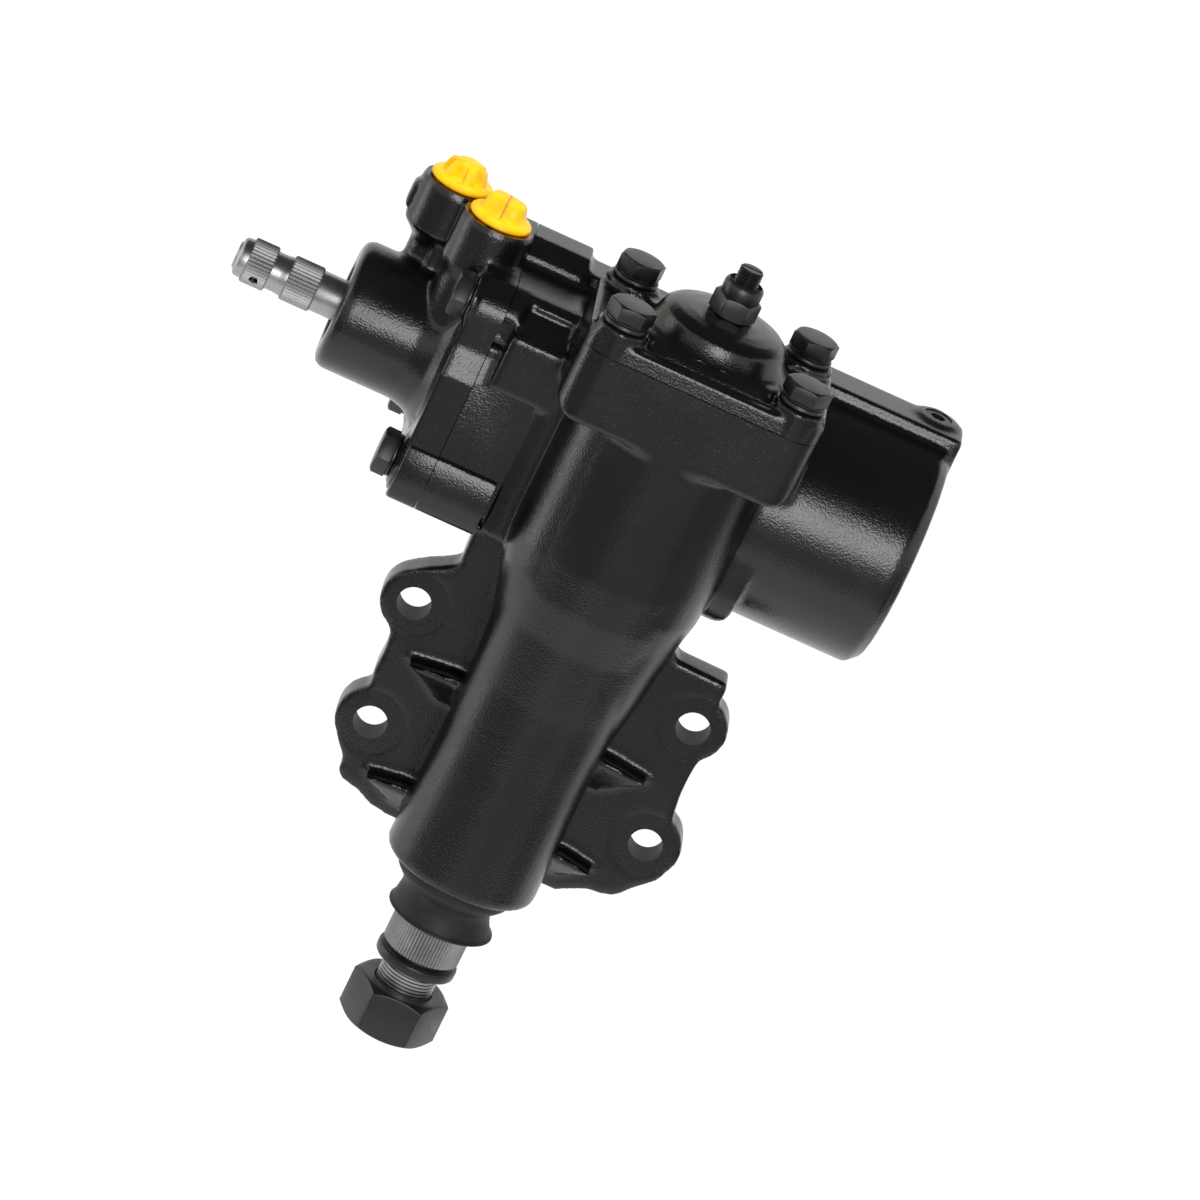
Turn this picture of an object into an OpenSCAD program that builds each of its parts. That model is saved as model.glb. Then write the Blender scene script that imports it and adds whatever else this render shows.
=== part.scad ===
/* [Layout] */
// Height of the worm's axis above the middle of the output shaft's serration
worm_height = 209.5; // [205:0.5:235]
// Distance from the output shaft's axis back to the worm's axis
worm_offset = 50; // [48:0.5:54]
// Thickness of the casting's walls around the bores
cast_wall = 8.5; // [7.5:0.5:10]

/* [Sector and rack] */
// Pitch radius of the gear on the output shaft
sector_pitch_r = 26; // [25:0.5:27]
// Number of teeth a full circle of the gear would have
teeth_per_turn = 9; // [9:1:10]
// Pressure angle of the gear and rack, in degrees
pressure_angle = 28; // [26:1:30]
// Height of the teeth outside the pitch circle, as a share of the module
addendum_share = 0.7; // [0.6:0.05:0.75]
// Room between a tooth's tip and the root it turns in
root_clearance = 0.9; // [0.6:0.1:1.2]
// Play between the flanks of the teeth, each side
flank_play = 0.15; // [0.1:0.05:0.3]
// Height of the gear's teeth along the output shaft
sector_height = 36; // [30:1:40]
// Swing of the output shaft each way, in degrees
sector_swing = 43; // [35:1:45]

/* [Output shaft] */
// Diameter of the shaft in the lower bearings
shaft_d = 32; // [30:0.5:34]
// Diameter of the journal in the cover
top_journal_d = 30; // [26:1:30]
// Diameter of the serration that takes the arm
serration_d = 31; // [29:0.5:31.5]
// Length of the serration
serration_l = 20; // [16:1:24]
// Number of grooves in the serration
serration_count = 36; // [30:1:40]
// Width of each groove at the surface
serration_w = 0.6; // [0.4:0.1:0.65]
// Depth of each groove
serration_depth = 0.7; // [0.5:0.1:1]
// Diameter of the thread for the arm's nut
arm_thread_d = 24; // [22:1:26]
// Pitch of that thread
arm_thread_pitch = 1.5; // [1.25:0.25:2]
// Length of the thread
arm_thread_l = 36; // [32:1:40]
// Thickness of the lock washer
lock_washer_t = 4.5; // [3:0.5:6]
// Outside diameter of the lock washer
lock_washer_d = 34; // [33:1:38]
// Bare thread between the washer and the nut
nut_gap = 10.4; // [4:0.2:12]
// Width of the arm's nut across its flats
arm_nut_af = 36; // [34:1:38]
// Height of the arm's nut
arm_nut_h = 20; // [16:1:21]

/* [Shaft tube] */
// Outside radius of the tube around the output shaft
tube_r = 32; // [31:0.5:34]
// Distance from the worm's axis down to the tube's end
tube_drop = 181; // [172:1:184]
// Outside radius where the tube joins the body
tube_root_r = 42.5; // [41:0.5:44]
// Outside diameter of the shaft's bearings
shaft_bearing_d = 42; // [40:1:44]
// Length of each bearing in the tube
shaft_bearing_l = 24; // [18:1:30]
// Outside diameter of the shaft's oil seal
shaft_seal_d = 48; // [46:1:50]
// Thickness of the oil seal
shaft_seal_t = 9; // [7:1:11]
// Radius of the dust boot's upper flange
boot_flange_r = 26; // [24:0.5:28]
// Radius of the boot's waist
boot_waist_r = 19; // [18.5:0.5:20.5]
// Radius of the boot's lower lip
boot_lip_r = 22; // [21:0.5:24]
// Height of the dust boot
boot_h = 22; // [20:1:23]

/* [Frame mount] */
// Distance from the output shaft's axis back to the mounting face
mount_face_y = 15; // [13:0.5:17]
// Thickness of the ears
mount_t = 15.7; // [14:0.1:18]
// Diameter of the frame bolt holes
frame_hole_d = 14; // [13:0.5:15]
// Distance between the two upper holes
upper_hole_spacing = 122; // [118:1:126]
// Distance between the two lower holes
lower_hole_spacing = 121; // [117:1:125]
// Sideways offset of the upper pair from the shaft's axis
upper_hole_shift = -0.4; // [-2:0.1:2]
// Sideways offset of the lower pair from the shaft's axis
lower_hole_shift = 3.8; // [2:0.1:5]
// Distance from the worm's axis down to the upper holes
upper_hole_drop = 91.2; // [89:0.2:93]
// Distance between the upper and lower rows
hole_row_gap = 54; // [52:0.5:56]
// Radius of the ears and of their machined spots
ear_r = 14; // [13:0.5:15]
// Depth of the machined spots
spot_depth = 0.5; // [0.3:0.1:0.8]

/* [Barrel] */
// Bore of the piston
piston_bore_d = 80; // [78:0.5:81]
// Distance from the output shaft's axis to the barrel's end edge
barrel_end_x = 106; // [104:1:109]
// Depth of the step at the barrel's closed end
barrel_step = 3; // [2:0.5:4]
// Height of the oil gallery's top above the worm's axis
gallery_top = 54; // [53.5:0.5:56]
// Extra height of the gallery beside the valve housing
gallery_rise = 4; // [2:0.5:5]
// Width of the oil gallery
gallery_w = 22; // [20:1:24]
// Diameter of the plug at the gallery's end
gallery_plug_d = 12; // [10:1:13]

/* [Valve housing] */
// Distance from the output shaft's axis to the joint with the valve housing
joint_x = 78.5; // [77:0.5:81]
// Thickness of the valve housing's flange
valve_flange_t = 13.5; // [12:0.5:15]
// Half width of the square flange
flange_half = 48; // [47:0.5:49]
// Corner radius of the flange
flange_corner_r = 14; // [10:1:16]
// Distance of the flange bolts from the worm's axis, along both sides of the square
flange_bolt_pitch = 36.5; // [36:0.1:37.5]
// Distance from the output shaft's axis to the neck's face
neck_face_x = 138; // [136:1:141]
// Radius of the neck
neck_r = 27.2; // [26.5:0.1:29]
// Height of the port faces above the worm's axis
port_top = 61.5; // [59:0.5:63]
// Radius of the port bosses
port_boss_r = 15.5; // [14.5:0.5:16.5]
// Distance from the output shaft's axis to the first port
first_port_x = 113.4; // [112:0.2:114]
// Distance from the output shaft's axis to the second port
second_port_x = 94.6; // [94:0.2:96]
// Sideways distance of each port from the worm's axis
port_side = 11; // [10:0.5:12]
// Diameter of the port threads
port_thread_d = 16; // [14:0.5:18]

/* [Side cover] */
// Height of the cover's joint face above the worm's axis
cover_joint = 55; // [54:0.5:57]
// Half length of the cover along the worm
cover_half_x = 50; // [49:0.5:52]
// Half width of the cover across the worm
cover_half_y = 38.5; // [38:0.5:40]
// Corner radius of the cover
cover_corner_r = 12; // [10:1:14]
// Thickness of the cover's plate
cover_t = 7; // [6:0.5:8]
// Height of the bolt bosses above the plate
cover_boss_h = 4.7; // [3:0.1:6]
// Height of the dome above the cover's joint face
dome_h = 23.5; // [22:0.5:25]
// Half spacing of the cover bolts along the worm
cover_bolt_x = 37.4; // [37:0.1:38.5]
// Half spacing of the cover bolts across the worm
cover_bolt_y = 27.8; // [27.4:0.1:28.2]
// Depth of the main flange under the cover
cover_flange_h = 30; // [26:1:32]

/* [Fasteners] */
// Thread of the cover and valve housing bolts
bolt_d = 10; // [8:1:10]
// Width of the bolt heads across their flats
bolt_af = 17; // [16:0.5:17]
// Height of the bolt heads
bolt_head_h = 7.4; // [6:0.2:9]
// Thickness of the washers under the cover bolts
washer_t = 1.8; // [1.2:0.2:2.4]
// Diameter of the adjusting screw
screw_d = 10; // [8:1:12]
// Height of the screw's tip above the dome
screw_rise = 21; // [19:0.5:24]
// Height of the locknut's hexagon
locknut_h = 8.5; // [7:0.5:10]
// Height of the locknut's collar
locknut_collar_h = 6.5; // [5:0.5:8]

/* [Worm and valve] */
// Radius of the circle the ball centres run on
ball_circle_r = 11.4; // [11:0.1:12]
// Diameter of the recirculating balls
ball_d = 5.6; // [5:0.1:5.8]
// Advance of the ball groove in one turn
worm_lead = 9.5; // [9:0.5:10.5]
// Turns of balls in mesh
circuit_turns = 2.5; // [1.5:0.5:3]
// Outside radius of the worm
worm_r = 11; // [10.5:0.1:11.3]
// Diameter of the input shaft
input_d = 18; // [16:0.5:18.5]
// Step in radius from the serrations down to the plain shaft behind them
input_step = 0.5; // [0.3:0.1:1]
// Distance from the neck's face to the input shaft's tip
input_reach = 44.5; // [40:0.5:50]
// Length of the input shaft's outer serration
outer_serration_l = 9.9; // [8:0.1:11]
// Width of the groove between the two serrations
clamp_groove_w = 7.2; // [6:0.1:9]
// Length of the inner serration
inner_serration_l = 12.4; // [10:0.1:14]
// Number of grooves in each input serration
input_grooves = 36; // [30:1:40]
// Diameter of the torsion bar
torsion_bar_d = 6; // [5:0.5:6.5]
// Radius of the valve sleeve
sleeve_r = 20; // [19:0.5:20.5]
// Radius of the valve's inner rotor
rotor_r = 12; // [11:0.5:13]
// Outside radius of the worm's bearing
worm_bearing_r = 28; // [26:0.5:30]
// Length of the worm's bearing
worm_bearing_l = 12; // [10:1:13]
// Radius of the worm's journal in its bearing
journal_r = 15; // [14:0.5:16]
// Radius of the balls in the worm's bearing
bearing_ball_r = 3.8; // [3:0.1:4.2]

/* [Hidden] */
$fn = 96;

// Clearances
press = 0.01;
running = 0.05;
loose = 0.3;
eps = 0.01;

// Colours
black_paint = [0.17, 0.17, 0.18];
black_steel = [0.13, 0.13, 0.14];
steel = [0.62, 0.62, 0.63];
bright_steel = [0.78, 0.78, 0.78];
rubber = [0.10, 0.10, 0.11];
bronze = [0.65, 0.50, 0.28];
yellow_plastic = [1.0, 0.77, 0.04];

// Gear and rack
gear_module = 2 * sector_pitch_r / teeth_per_turn;
addendum = addendum_share * gear_module;
dedendum = addendum + root_clearance;
tip_r = sector_pitch_r + addendum;
root_r = sector_pitch_r - dedendum;
base_r = sector_pitch_r * cos(pressure_angle);
rack_pitch = PI * gear_module;
travel = sector_pitch_r * sector_swing * PI / 180;

// Barrel and piston, along the worm
barrel_r = piston_bore_d / 2 + cast_wall;
piston_r = piston_bore_d / 2 - 0.4;
slot_half = sector_pitch_r + travel * 0.5 + 6;
piston_head = 10;
piston_left = -(slot_half + piston_head);
piston_right = slot_half + 3 * piston_head;
bore_end = piston_right + travel + 4;
spigot_l = joint_x + piston_left - travel - 1.5;

// Worm, along its own axis
ball_r = ball_d / 2;
groove_r = ball_r + 0.7;
nut_bore_r = ball_circle_r + ball_r + 0.02;
circuit_l = circuit_turns * worm_lead;
circuit_start = piston_left + piston_head + 10;
circuit_end = circuit_start + circuit_l;
circuit_middle = (circuit_start + circuit_end) / 2;
groove_start = -joint_x + 13.5;
worm_end = circuit_end + travel + 14;
groove_l = worm_end - groove_start;
nut_bore_end = worm_end + travel + 3;
balls_per_turn = 12;

// Valve
flange_face_x = joint_x + valve_flange_t;
seal_seat_l = 8.5;
needle_seat_l = 10;
bearing_back_x = flange_face_x - 2;
sleeve_start = -neck_face_x + seal_seat_l + needle_seat_l + 1.5;
sleeve_end = -(flange_face_x + 1);
land_pitch = (sleeve_end - sleeve_start - 5.2) / 3;
head_start = sleeve_end + 0.6;
drive_pin_r = 0.8;
drive_pin_l = 3;
input_tip = -(neck_face_x + input_reach);
input_r = input_d / 2;
plain_r = input_r - input_step;
rib_r = plain_r + 1.1;
bar_r = torsion_bar_d / 2;
valve_bore_r = sleeve_r + 0.5;
seal_seat_r = plain_r + 8;
needle_seat_r = rib_r + 4.9;
spline_1_start = input_tip + 5.2;
spline_1_end = spline_1_start + outer_serration_l;
spline_2_start = spline_1_end + clamp_groove_w;
spline_2_end = spline_2_start + inner_serration_l;
race_r = (worm_bearing_r + journal_r) / 2;
race_z = -bearing_back_x + worm_bearing_l / 2;

// Heights of the frame holes, from the worm's axis
upper_hole_z = -upper_hole_drop;
lower_hole_z = upper_hole_z - hole_row_gap;

// Heights of the sector shaft's parts, from the worm's axis
journal_top = cover_joint + 13;
tube_end = -tube_drop;
serration_bottom = -worm_height - serration_l / 2;
thread_end = serration_bottom - arm_thread_l;
washer_top = serration_bottom - 1.8;
nut_top = washer_top - lock_washer_t - nut_gap;
bearing_bore_r = shaft_bearing_d / 2;
shaft_r = shaft_d / 2;
serration_r = serration_d / 2;
lower_bearing_z = tube_end + shaft_seal_t + 6 + shaft_bearing_l / 2;
middle_bearing_z = -sector_height / 2 - 8 - shaft_bearing_l / 2;
chamber_r = tip_r + 2;
dome_top = cover_joint + dome_h;
screw_tip = dome_top + screw_rise;
bush_r = top_journal_d / 2 + top_journal_d / 10;
bush_bottom = cover_joint - 12;
locknut_top = dome_top + locknut_h + locknut_collar_h;
plate_top = cover_joint + cover_t;
bolt_seat = plate_top + cover_boss_h;
screw_head_z = journal_top - 8;

// Moves children to the height of the worm's axis, on the output shaft's axis.
module at_cross() translate([0, 0, worm_height]) children();

// A round bar along Z from one height to another.
module bar(from, to, r) translate([0, 0, from]) cylinder(r = r, h = to - from);

// A ring along Z from one height to another.
module ring(from, to, outer, inner) difference() {
    bar(from, to, outer);
    bar(from - 1, to + 1, inner);
}

// A rounded rectangle in the plane.
module rounded(half_x, half_y, r) {
    square([2 * half_x, 2 * (half_y - r)], center = true);
    square([2 * (half_x - r), 2 * half_y], center = true);
    for (x = [-1, 1], y = [-1, 1]) translate([x * (half_x - r), y * (half_y - r)]) circle(r);
}

// A hexagon with its flats across `af` and both ends chamfered by a cone.
module hexagon(af, h, top = true, bottom = true) {
    corner = af / 2 / cos(30);
    cut = (corner - af / 2 * 0.97) * tan(30);
    intersection() {
        cylinder(r = corner, h = h, $fn = 6);
        rotate_extrude() polygon([
            [0, 0],
            [bottom ? af / 2 * 0.97 : corner + 1, 0],
            [corner + 1, bottom ? cut + 0.6 : 0],
            [corner + 1, top ? h - cut - 0.6 : h],
            [top ? af / 2 * 0.97 : corner + 1, h],
            [0, h]]);
    }
}

// A screw thread drawn as close rings between two heights.
module ringed_thread(from, to, d, pitch) {
    turns = floor((to - from) / pitch);
    depth = 0.54 * pitch;
    r = d / 2;
    rotate_extrude() polygon(concat(
        [[0, from], [r - depth, from]],
        [for (i = [0 : turns - 1], k = [0 : 1])
            [k == 0 ? r - depth : r, from + i * pitch + (k == 0 ? 0.1 : 0.55) * pitch]],
        [[r - depth, from + turns * pitch], [r - depth, to], [0, to]]));
}

// A round bar with V grooves along it.
module serrated(from, to, r, count, w, depth)
    translate([0, 0, from]) linear_extrude(to - from) difference() {
        circle(r);
        for (i = [0 : count - 1]) rotate(i * 360 / count)
            polygon([[r + 0.2, -w * 0.6], [r - depth, 0], [r + 0.2, w * 0.6]]);
    }

// A hexagon bolt with its head above the origin and its shank below.
module bolt(shank) {
    bar(-shank, 0, bolt_d / 2 - 0.2);
    bar(0, 1, bolt_af / 2 * 1.06);
    translate([0, 0, 0.9]) hexagon(bolt_af, bolt_head_h - 0.9, true, false);
}

// Points of one involute flank, from the root to the tip, on the gear's right side.
function roll(r) = r <= base_r ? 0 : sqrt(pow(r / base_r, 2) - 1) * 180 / PI;
function flank_angle(r) = roll(r) - atan(roll(r) * PI / 180);
half_tooth = 90 / teeth_per_turn - flank_play * 180 / PI / sector_pitch_r;
function flank_point(r, side = 1) =
    let (a = half_tooth + flank_angle(sector_pitch_r) - flank_angle(r)) [side * r * sin(a), r * cos(a)];
flank_steps = 6;
flank_low = max(root_r, base_r);
flank_rise = (tip_r - flank_low) / flank_steps;
flank_radii = concat([root_r - 1], [for (i = [0 : flank_steps]) flank_low + flank_rise * i]);
gear_tooth = concat(
    [for (r = flank_radii) flank_point(r)],
    [for (i = [len(flank_radii) - 1 : -1 : 0]) flank_point(flank_radii[i], -1)]);

// Places children at the four corners of a rectangle.
module corners(x, y) for (i = [-1, 1], j = [-1, 1]) translate([i * x, j * y, 0]) children();

// Outline of the ear plate on one side: 1 is the right side, -1 the left.
module ear_outline(side) {
    ux = upper_hole_shift + side * upper_hole_spacing / 2;
    lx = lower_hole_shift + side * lower_hole_spacing / 2;
    uz = upper_hole_z;
    lz = lower_hole_z;
    inner = side * tube_r * 0.6;
    low = max(lz - 34, tube_end + 2);
    translate([ux, uz]) circle(ear_r);
    translate([lx, lz]) circle(ear_r + 0.6);
    if (side < 0) polygon([
        [inner, uz + 45], [ux + 8.4, uz + 45], [ux + 9.3, uz + 26.4], [ux + 9.8, uz + 22.8],
        [ux + 3.6, uz + 18.7], [ux - 2.4, uz + 15.4], [ux - 8.4, uz + 11], [ux - 5.1, uz - 13],
        [ux - 3.2, uz - 16.6], [ux - 2.5, uz - 24.4], [lx - 7.6, lz + 22.4], [lx - 6.5, lz + 13.3],
        [lx - 11.5, lz - 8.6], [lx - 7.6, lz - 14.5], [lx - 4.6, lz - 17.7], [lx - 3, lz - 20.9],
        [lx - 3.6, lz - 23], [lx - 2.8, lz - 25.5], [lx - 0.2, lz - 27.7], [lx + 6.7, lz - 29],
        [lx + 13.7, lz - 32.6], [lx + 20.8, low], [inner, low]]);
    else polygon([
        [inner, uz + 45], [ux - 22, uz + 30], [ux - 18, uz + 23.7], [ux + 4.4, uz + 22.9],
        [ux + 5.3, uz + 19.9], [ux + 5.3, uz + 16.9], [ux + 4.4, uz + 13], [ux + 12.6, uz - 5.4],
        [ux + 8.7, uz - 11.1], [ux + 7.7, uz - 14.1], [ux + 7.3, uz - 21.3], [ux + 7.5, uz - 28.8],
        [lx + 4.7, lz + 19.1], [lx + 5.3, lz + 13.6], [lx + 12.5, lz - 7.6], [lx + 11, lz - 11.8],
        [lx + 7.2, lz - 15.7], [lx + 2.6, lz - 20], [lx - 0.2, lz - 24], [lx - 3.7, lz - 26.5],
        [lx - 7.1, lz - 27.3], [lx - 13.3, lz - 28.1], [lx - 22.4, lz - 32.6], [lx - 24, low], [inner, low]]);
}

// Wedge that stiffens an ear: flat on top, running out to the plate below and to a tip at the side.
module wedge(side, top, reach, drop) intersection() {
    along_y(mount_face_y - 10, mount_face_y + 1) polygon([
        [side * tube_r * 0.8, top + 2], [side * (tube_r + 3), top + 2.5], [side * (tube_r + reach), top],
        [side * (tube_r + 2), top - drop], [side * tube_r * 0.8, top - drop]]);
    along_x(-tube_r - reach - 5, tube_r + reach + 5) polygon([
        [mount_face_y - 10, top + 5], [mount_face_y - 10, top], [mount_face_y, top - drop],
        [mount_face_y + 1, top - drop], [mount_face_y + 1, top + 5]]);
}

// Ears for the frame bolts, stiffened by four wedges.
module mount_ears() {
    for (side = [-1, 1]) along_y(mount_face_y, mount_face_y + mount_t) ear_outline(side);
    wedge(-1, upper_hole_z - 20.8, 22, 13);
    wedge(-1, lower_hole_z - 18.3, 18.5, 11);
    wedge(1, upper_hole_z - 26.8, 22, 14.4);
    wedge(1, lower_hole_z - 17.5, 17.5, 11);
}

// Outside of the tube around the output shaft, widening to both sides towards the body.
module shaft_tube() {
    root = tube_root_r - 4;
    rotate_extrude() polygon([
        [0, tube_end], [tube_r - 1.5, tube_end], [tube_r, tube_end + 1.5], [tube_r - 0.6, -127], [tube_r, -95],
        [root - 4.5, -66], [root - 1.5, -49], [root, -32], [root, cover_joint - 3], [0, cover_joint - 3]]);
    translate([4, 3, 0]) rotate_extrude() polygon([
        [0, -112], [root - 11.5, -112], [root - 7, -85], [root - 4.7, -67], [root - 3.4, -56],
        [root - 0.8, -43], [root, -28], [root, cover_joint - 3], [0, cover_joint - 3]]);
    translate([-3.5, 3, 0]) rotate_extrude() polygon([
        [0, -92], [root - 10.5, -92], [root - 8.5, -74], [root - 5, -62], [root - 1, -46], [root, -34],
        [root, cover_joint - 3], [0, cover_joint - 3]]);
}

// Outline of the flange between the two castings, seen along the worm.
module flange_shape() translate([worm_offset, 0]) for (side = [-1, 1]) {
    r = flange_corner_r;
    upper = flange_half - 2;
    lower = flange_half + 2;
    polygon([
        [0, flange_half], [side * (upper - r), flange_half], [side * upper, flange_half - r],
        [side * upper, 0.41 * flange_half], [side * lower, flange_half / 6], [side * lower, r - lower],
        [side * (lower - r), -lower], [0, -lower]]);
    translate([side * (upper - r), flange_half - r]) circle(r);
    translate([side * (lower - r), r - lower]) circle(r);
}

// Square body behind the valve housing, with a raised panel, and the web that joins it to the barrel.
module body_block() {
    along_x(-joint_x, -cover_half_x) flange_shape();
    intersection() {
        along_x(-cover_half_x - 5, barrel_end_x / 2) translate([worm_offset, 0])
            rounded(flange_half - 1.5, flange_half - 0.5, flange_corner_r + 6);
        along_y(-5, 2 * worm_offset + 5) translate([-1, 0]) rounded(cover_half_x + 4, flange_half + 0.5, 11);
    }
    along_y(worm_offset - flange_half - 4, 12)
        translate([-joint_x + 22, flange_half / 2 - 1]) rounded(16.5, 12.2, 2);
    translate([-cover_half_x, worm_offset - flange_half, 2 - flange_half]) linear_extrude(1.25 * flange_half)
        polygon([[-2, -1.5], [3, -4], [12, -4], [12, 10], [-2, 10]]);
}

// Places a flat shape, drawn across and up, between two distances along the worm.
module along_x(from, to) translate([from, 0, 0]) rotate([90, 0, 90]) linear_extrude(to - from) children();

// Places a flat shape, drawn along the worm and up, between two distances from front to back.
module along_y(from, to) translate([0, to, 0]) rotate([90, 0, 0]) linear_extrude(to - from) children();

// Worm axis placement inside parts that are already at the worm's height.
module at_worm_local() translate([0, worm_offset, 0]) rotate([0, 90, 0]) children();

module barrel() {
    at_worm_local() {
        bar(-joint_x, barrel_end_x - 2, barrel_r);
        bar(barrel_end_x - 2.01, barrel_end_x, barrel_r - 1);
        bar(barrel_end_x - 0.01, barrel_end_x + barrel_step, barrel_r - 3.5);
    }
}

gallery_y0 = worm_offset - 3;
gallery_end_x = barrel_end_x + barrel_step + 1;
gallery_pad_x = gallery_end_x - 12;
gallery_mid_z = gallery_top - 8;

// Oil gallery along the top of the barrel, higher beside the valve housing.
module gallery() {
    translate([-joint_x, gallery_y0, 30]) cube([joint_x + gallery_end_x - 6, gallery_w, gallery_top - 30]);
    translate([0, 0, 30]) linear_extrude(gallery_top + gallery_rise - 30) polygon([
        [-joint_x, gallery_y0], [-cover_half_x - 8, gallery_y0], [4 - cover_half_x, gallery_y0 + gallery_w / 2],
        [4 - cover_half_x, gallery_y0 + gallery_w], [-joint_x, gallery_y0 + gallery_w]]);
    translate([gallery_end_x - 6 - eps, gallery_y0, 26]) cube([6 + eps, gallery_w - 6, gallery_top - 26]);
    translate([gallery_end_x - 6, gallery_y0 + gallery_w - 6, 26]) cylinder(r = 6, h = gallery_top - 26);
    translate([gallery_pad_x, gallery_y0 + gallery_w - 7, 30]) cylinder(r = 9, h = gallery_top + 1.5 - 30);
}

// Pad under the side cover, with its lower corners rounded.
module cover_pad() intersection() {
    linear_extrude(cover_joint) rounded(cover_half_x, cover_half_y, cover_corner_r);
    along_y(-cover_half_y - 1, cover_half_y + 1) translate([0, cover_joint + 20 - cover_flange_h / 2 - 10])
        rounded(cover_half_x + 1, cover_flange_h / 2 + 10, 10);
}

// Cast recesses in the front of the body: one under the bolt's lug, one in the upper corner.
module slots() {
    translate([-joint_x - 1, 0, 25.5]) cube([6.5, 9, 10.5]);
    translate([17 - joint_x, worm_offset - flange_half + 2 + flange_corner_r, flange_half - flange_corner_r])
        rotate([-45, 0, 0]) translate([0, -flange_corner_r, 0]) cube([21, 7, 13], center = true);
}

module gear_housing() color(black_paint) at_cross() difference() {
    union() {
        barrel();
        body_block();
        gallery();
        shaft_tube();
        mount_ears();
        cover_pad();
    }
    slots();
    at_worm_local() {
        bar(-joint_x - 1, bore_end, piston_bore_d / 2);
        corners(flange_bolt_pitch, flange_bolt_pitch) bar(-joint_x - 1, -joint_x + 24, bolt_d / 2);
    }
    bar(-sector_height / 2 - 2, cover_joint + 1, chamber_r);
    bar(middle_bearing_z - shaft_bearing_l / 2, -sector_height / 2, bearing_bore_r);
    bar(tube_end - 1, 0, shaft_r + 1.5);
    bar(tube_end - 1, lower_bearing_z + shaft_bearing_l / 2, bearing_bore_r);
    bar(tube_end - 1, tube_end + shaft_seal_t + 5, shaft_seal_d / 2);
    corners(cover_bolt_x, cover_bolt_y) bar(cover_joint - 20, cover_joint + 1, bolt_d / 2);
    frame_holes();
    translate([gallery_pad_x, gallery_y0 + gallery_w - 7, 0])
        bar(gallery_top - 9, gallery_top + 11, gallery_plug_d / 2);
    translate([0, gallery_y0 + gallery_w / 2, gallery_mid_z]) rotate([0, 90, 0])
        bar(-joint_x + 8, gallery_pad_x + 2, 3);
}

// Frame bolt holes with their machined spots.
module frame_holes() {
    for (side = [-1, 1]) {
        translate([upper_hole_shift + side * upper_hole_spacing / 2, 0, upper_hole_z]) frame_hole();
        translate([lower_hole_shift + side * lower_hole_spacing / 2, 0, lower_hole_z]) frame_hole();
    }
}

module frame_hole() rotate([-90, 0, 0]) {
    bar(0, mount_face_y + mount_t + 1, frame_hole_d / 2);
    bar(0, mount_face_y + spot_depth, ear_r);
}

module neck_outline() rotate_extrude() polygon([
    [0, -neck_face_x], [neck_r - 4, -neck_face_x], [neck_r - 1.2, -neck_face_x + 1.2],
    [neck_r, -neck_face_x + 4], [neck_r, -flange_face_x - 12], [neck_r + 2, -flange_face_x - 5],
    [neck_r + 8, -flange_face_x + 0.5], [0, -flange_face_x + 0.5]]);

module port_boss(x, side) translate([-x, worm_offset + side * port_side, 0]) {
    foot = side > 0 ? port_boss_r - 6 : port_boss_r - 1.5;
    bar(5, port_top - 20, foot);
    translate([0, 0, port_top - 26]) cylinder(r1 = foot, r2 = port_boss_r, h = 6);
    bar(port_top - 20.01, port_top - 1, port_boss_r);
    bar(port_top - 1.01, port_top, port_boss_r - 1);
}

module port_bore(x, side) translate([-x, worm_offset + side * port_side, 0]) {
    bar(port_top - 17, port_top + 1, port_thread_d / 2);
    bar(sleeve_r - 8, port_top, 3.5);
}

module valve_housing() color(black_paint) at_cross() difference() {
    union() {
        along_x(-flange_face_x, -joint_x) flange_shape();
        at_worm_local() {
            neck_outline();
            bar(-joint_x - eps, -joint_x + spigot_l, piston_bore_d / 2 - press);
            corners(flange_bolt_pitch, flange_bolt_pitch) bar(-flange_face_x - 1.6, -flange_face_x + 1, 10.4);
        }
        port_boss(first_port_x, 1);
        port_boss(second_port_x, -1);
        translate([-first_port_x - port_boss_r - 1.8, worm_offset + port_side - 5, port_top - 16])
            cube([6, 9, 10.7]);
        translate([-first_port_x, worm_offset + port_side - port_boss_r + 2, 20])
            cube([first_port_x - flange_face_x + 4, 2 * port_boss_r - 6, 25]);
    }
    at_worm_local() {
        bar(-neck_face_x - 1, -neck_face_x + seal_seat_l, seal_seat_r);
        bar(-neck_face_x, -neck_face_x + seal_seat_l + needle_seat_l, needle_seat_r);
        bar(-neck_face_x + seal_seat_l + needle_seat_l, -bearing_back_x + 1, valve_bore_r);
        bar(-bearing_back_x, -joint_x + spigot_l + 1, worm_bearing_r);
        ring(-joint_x + 1, -joint_x + 4, piston_bore_d / 2 + 1, piston_bore_d / 2 - 2.6);
        corners(flange_bolt_pitch, flange_bolt_pitch) bar(-flange_face_x - 2, -joint_x + 1, bolt_d / 2 + 0.3);
    }
    port_bore(first_port_x, 1);
    port_bore(second_port_x, -1);
}

module valve_housing_seal() color(rubber) at_cross() at_worm_local()
    ring(-joint_x + 1.2, -joint_x + 3.8, piston_bore_d / 2 - press, piston_bore_d / 2 - 2.6 + press);

module valve_housing_bolts() color(black_steel) at_cross() at_worm_local()
    corners(flange_bolt_pitch, flange_bolt_pitch) translate([0, 0, -flange_face_x - 1.6])
        rotate([180, 0, 30]) bolt(valve_flange_t + 18);

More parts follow.
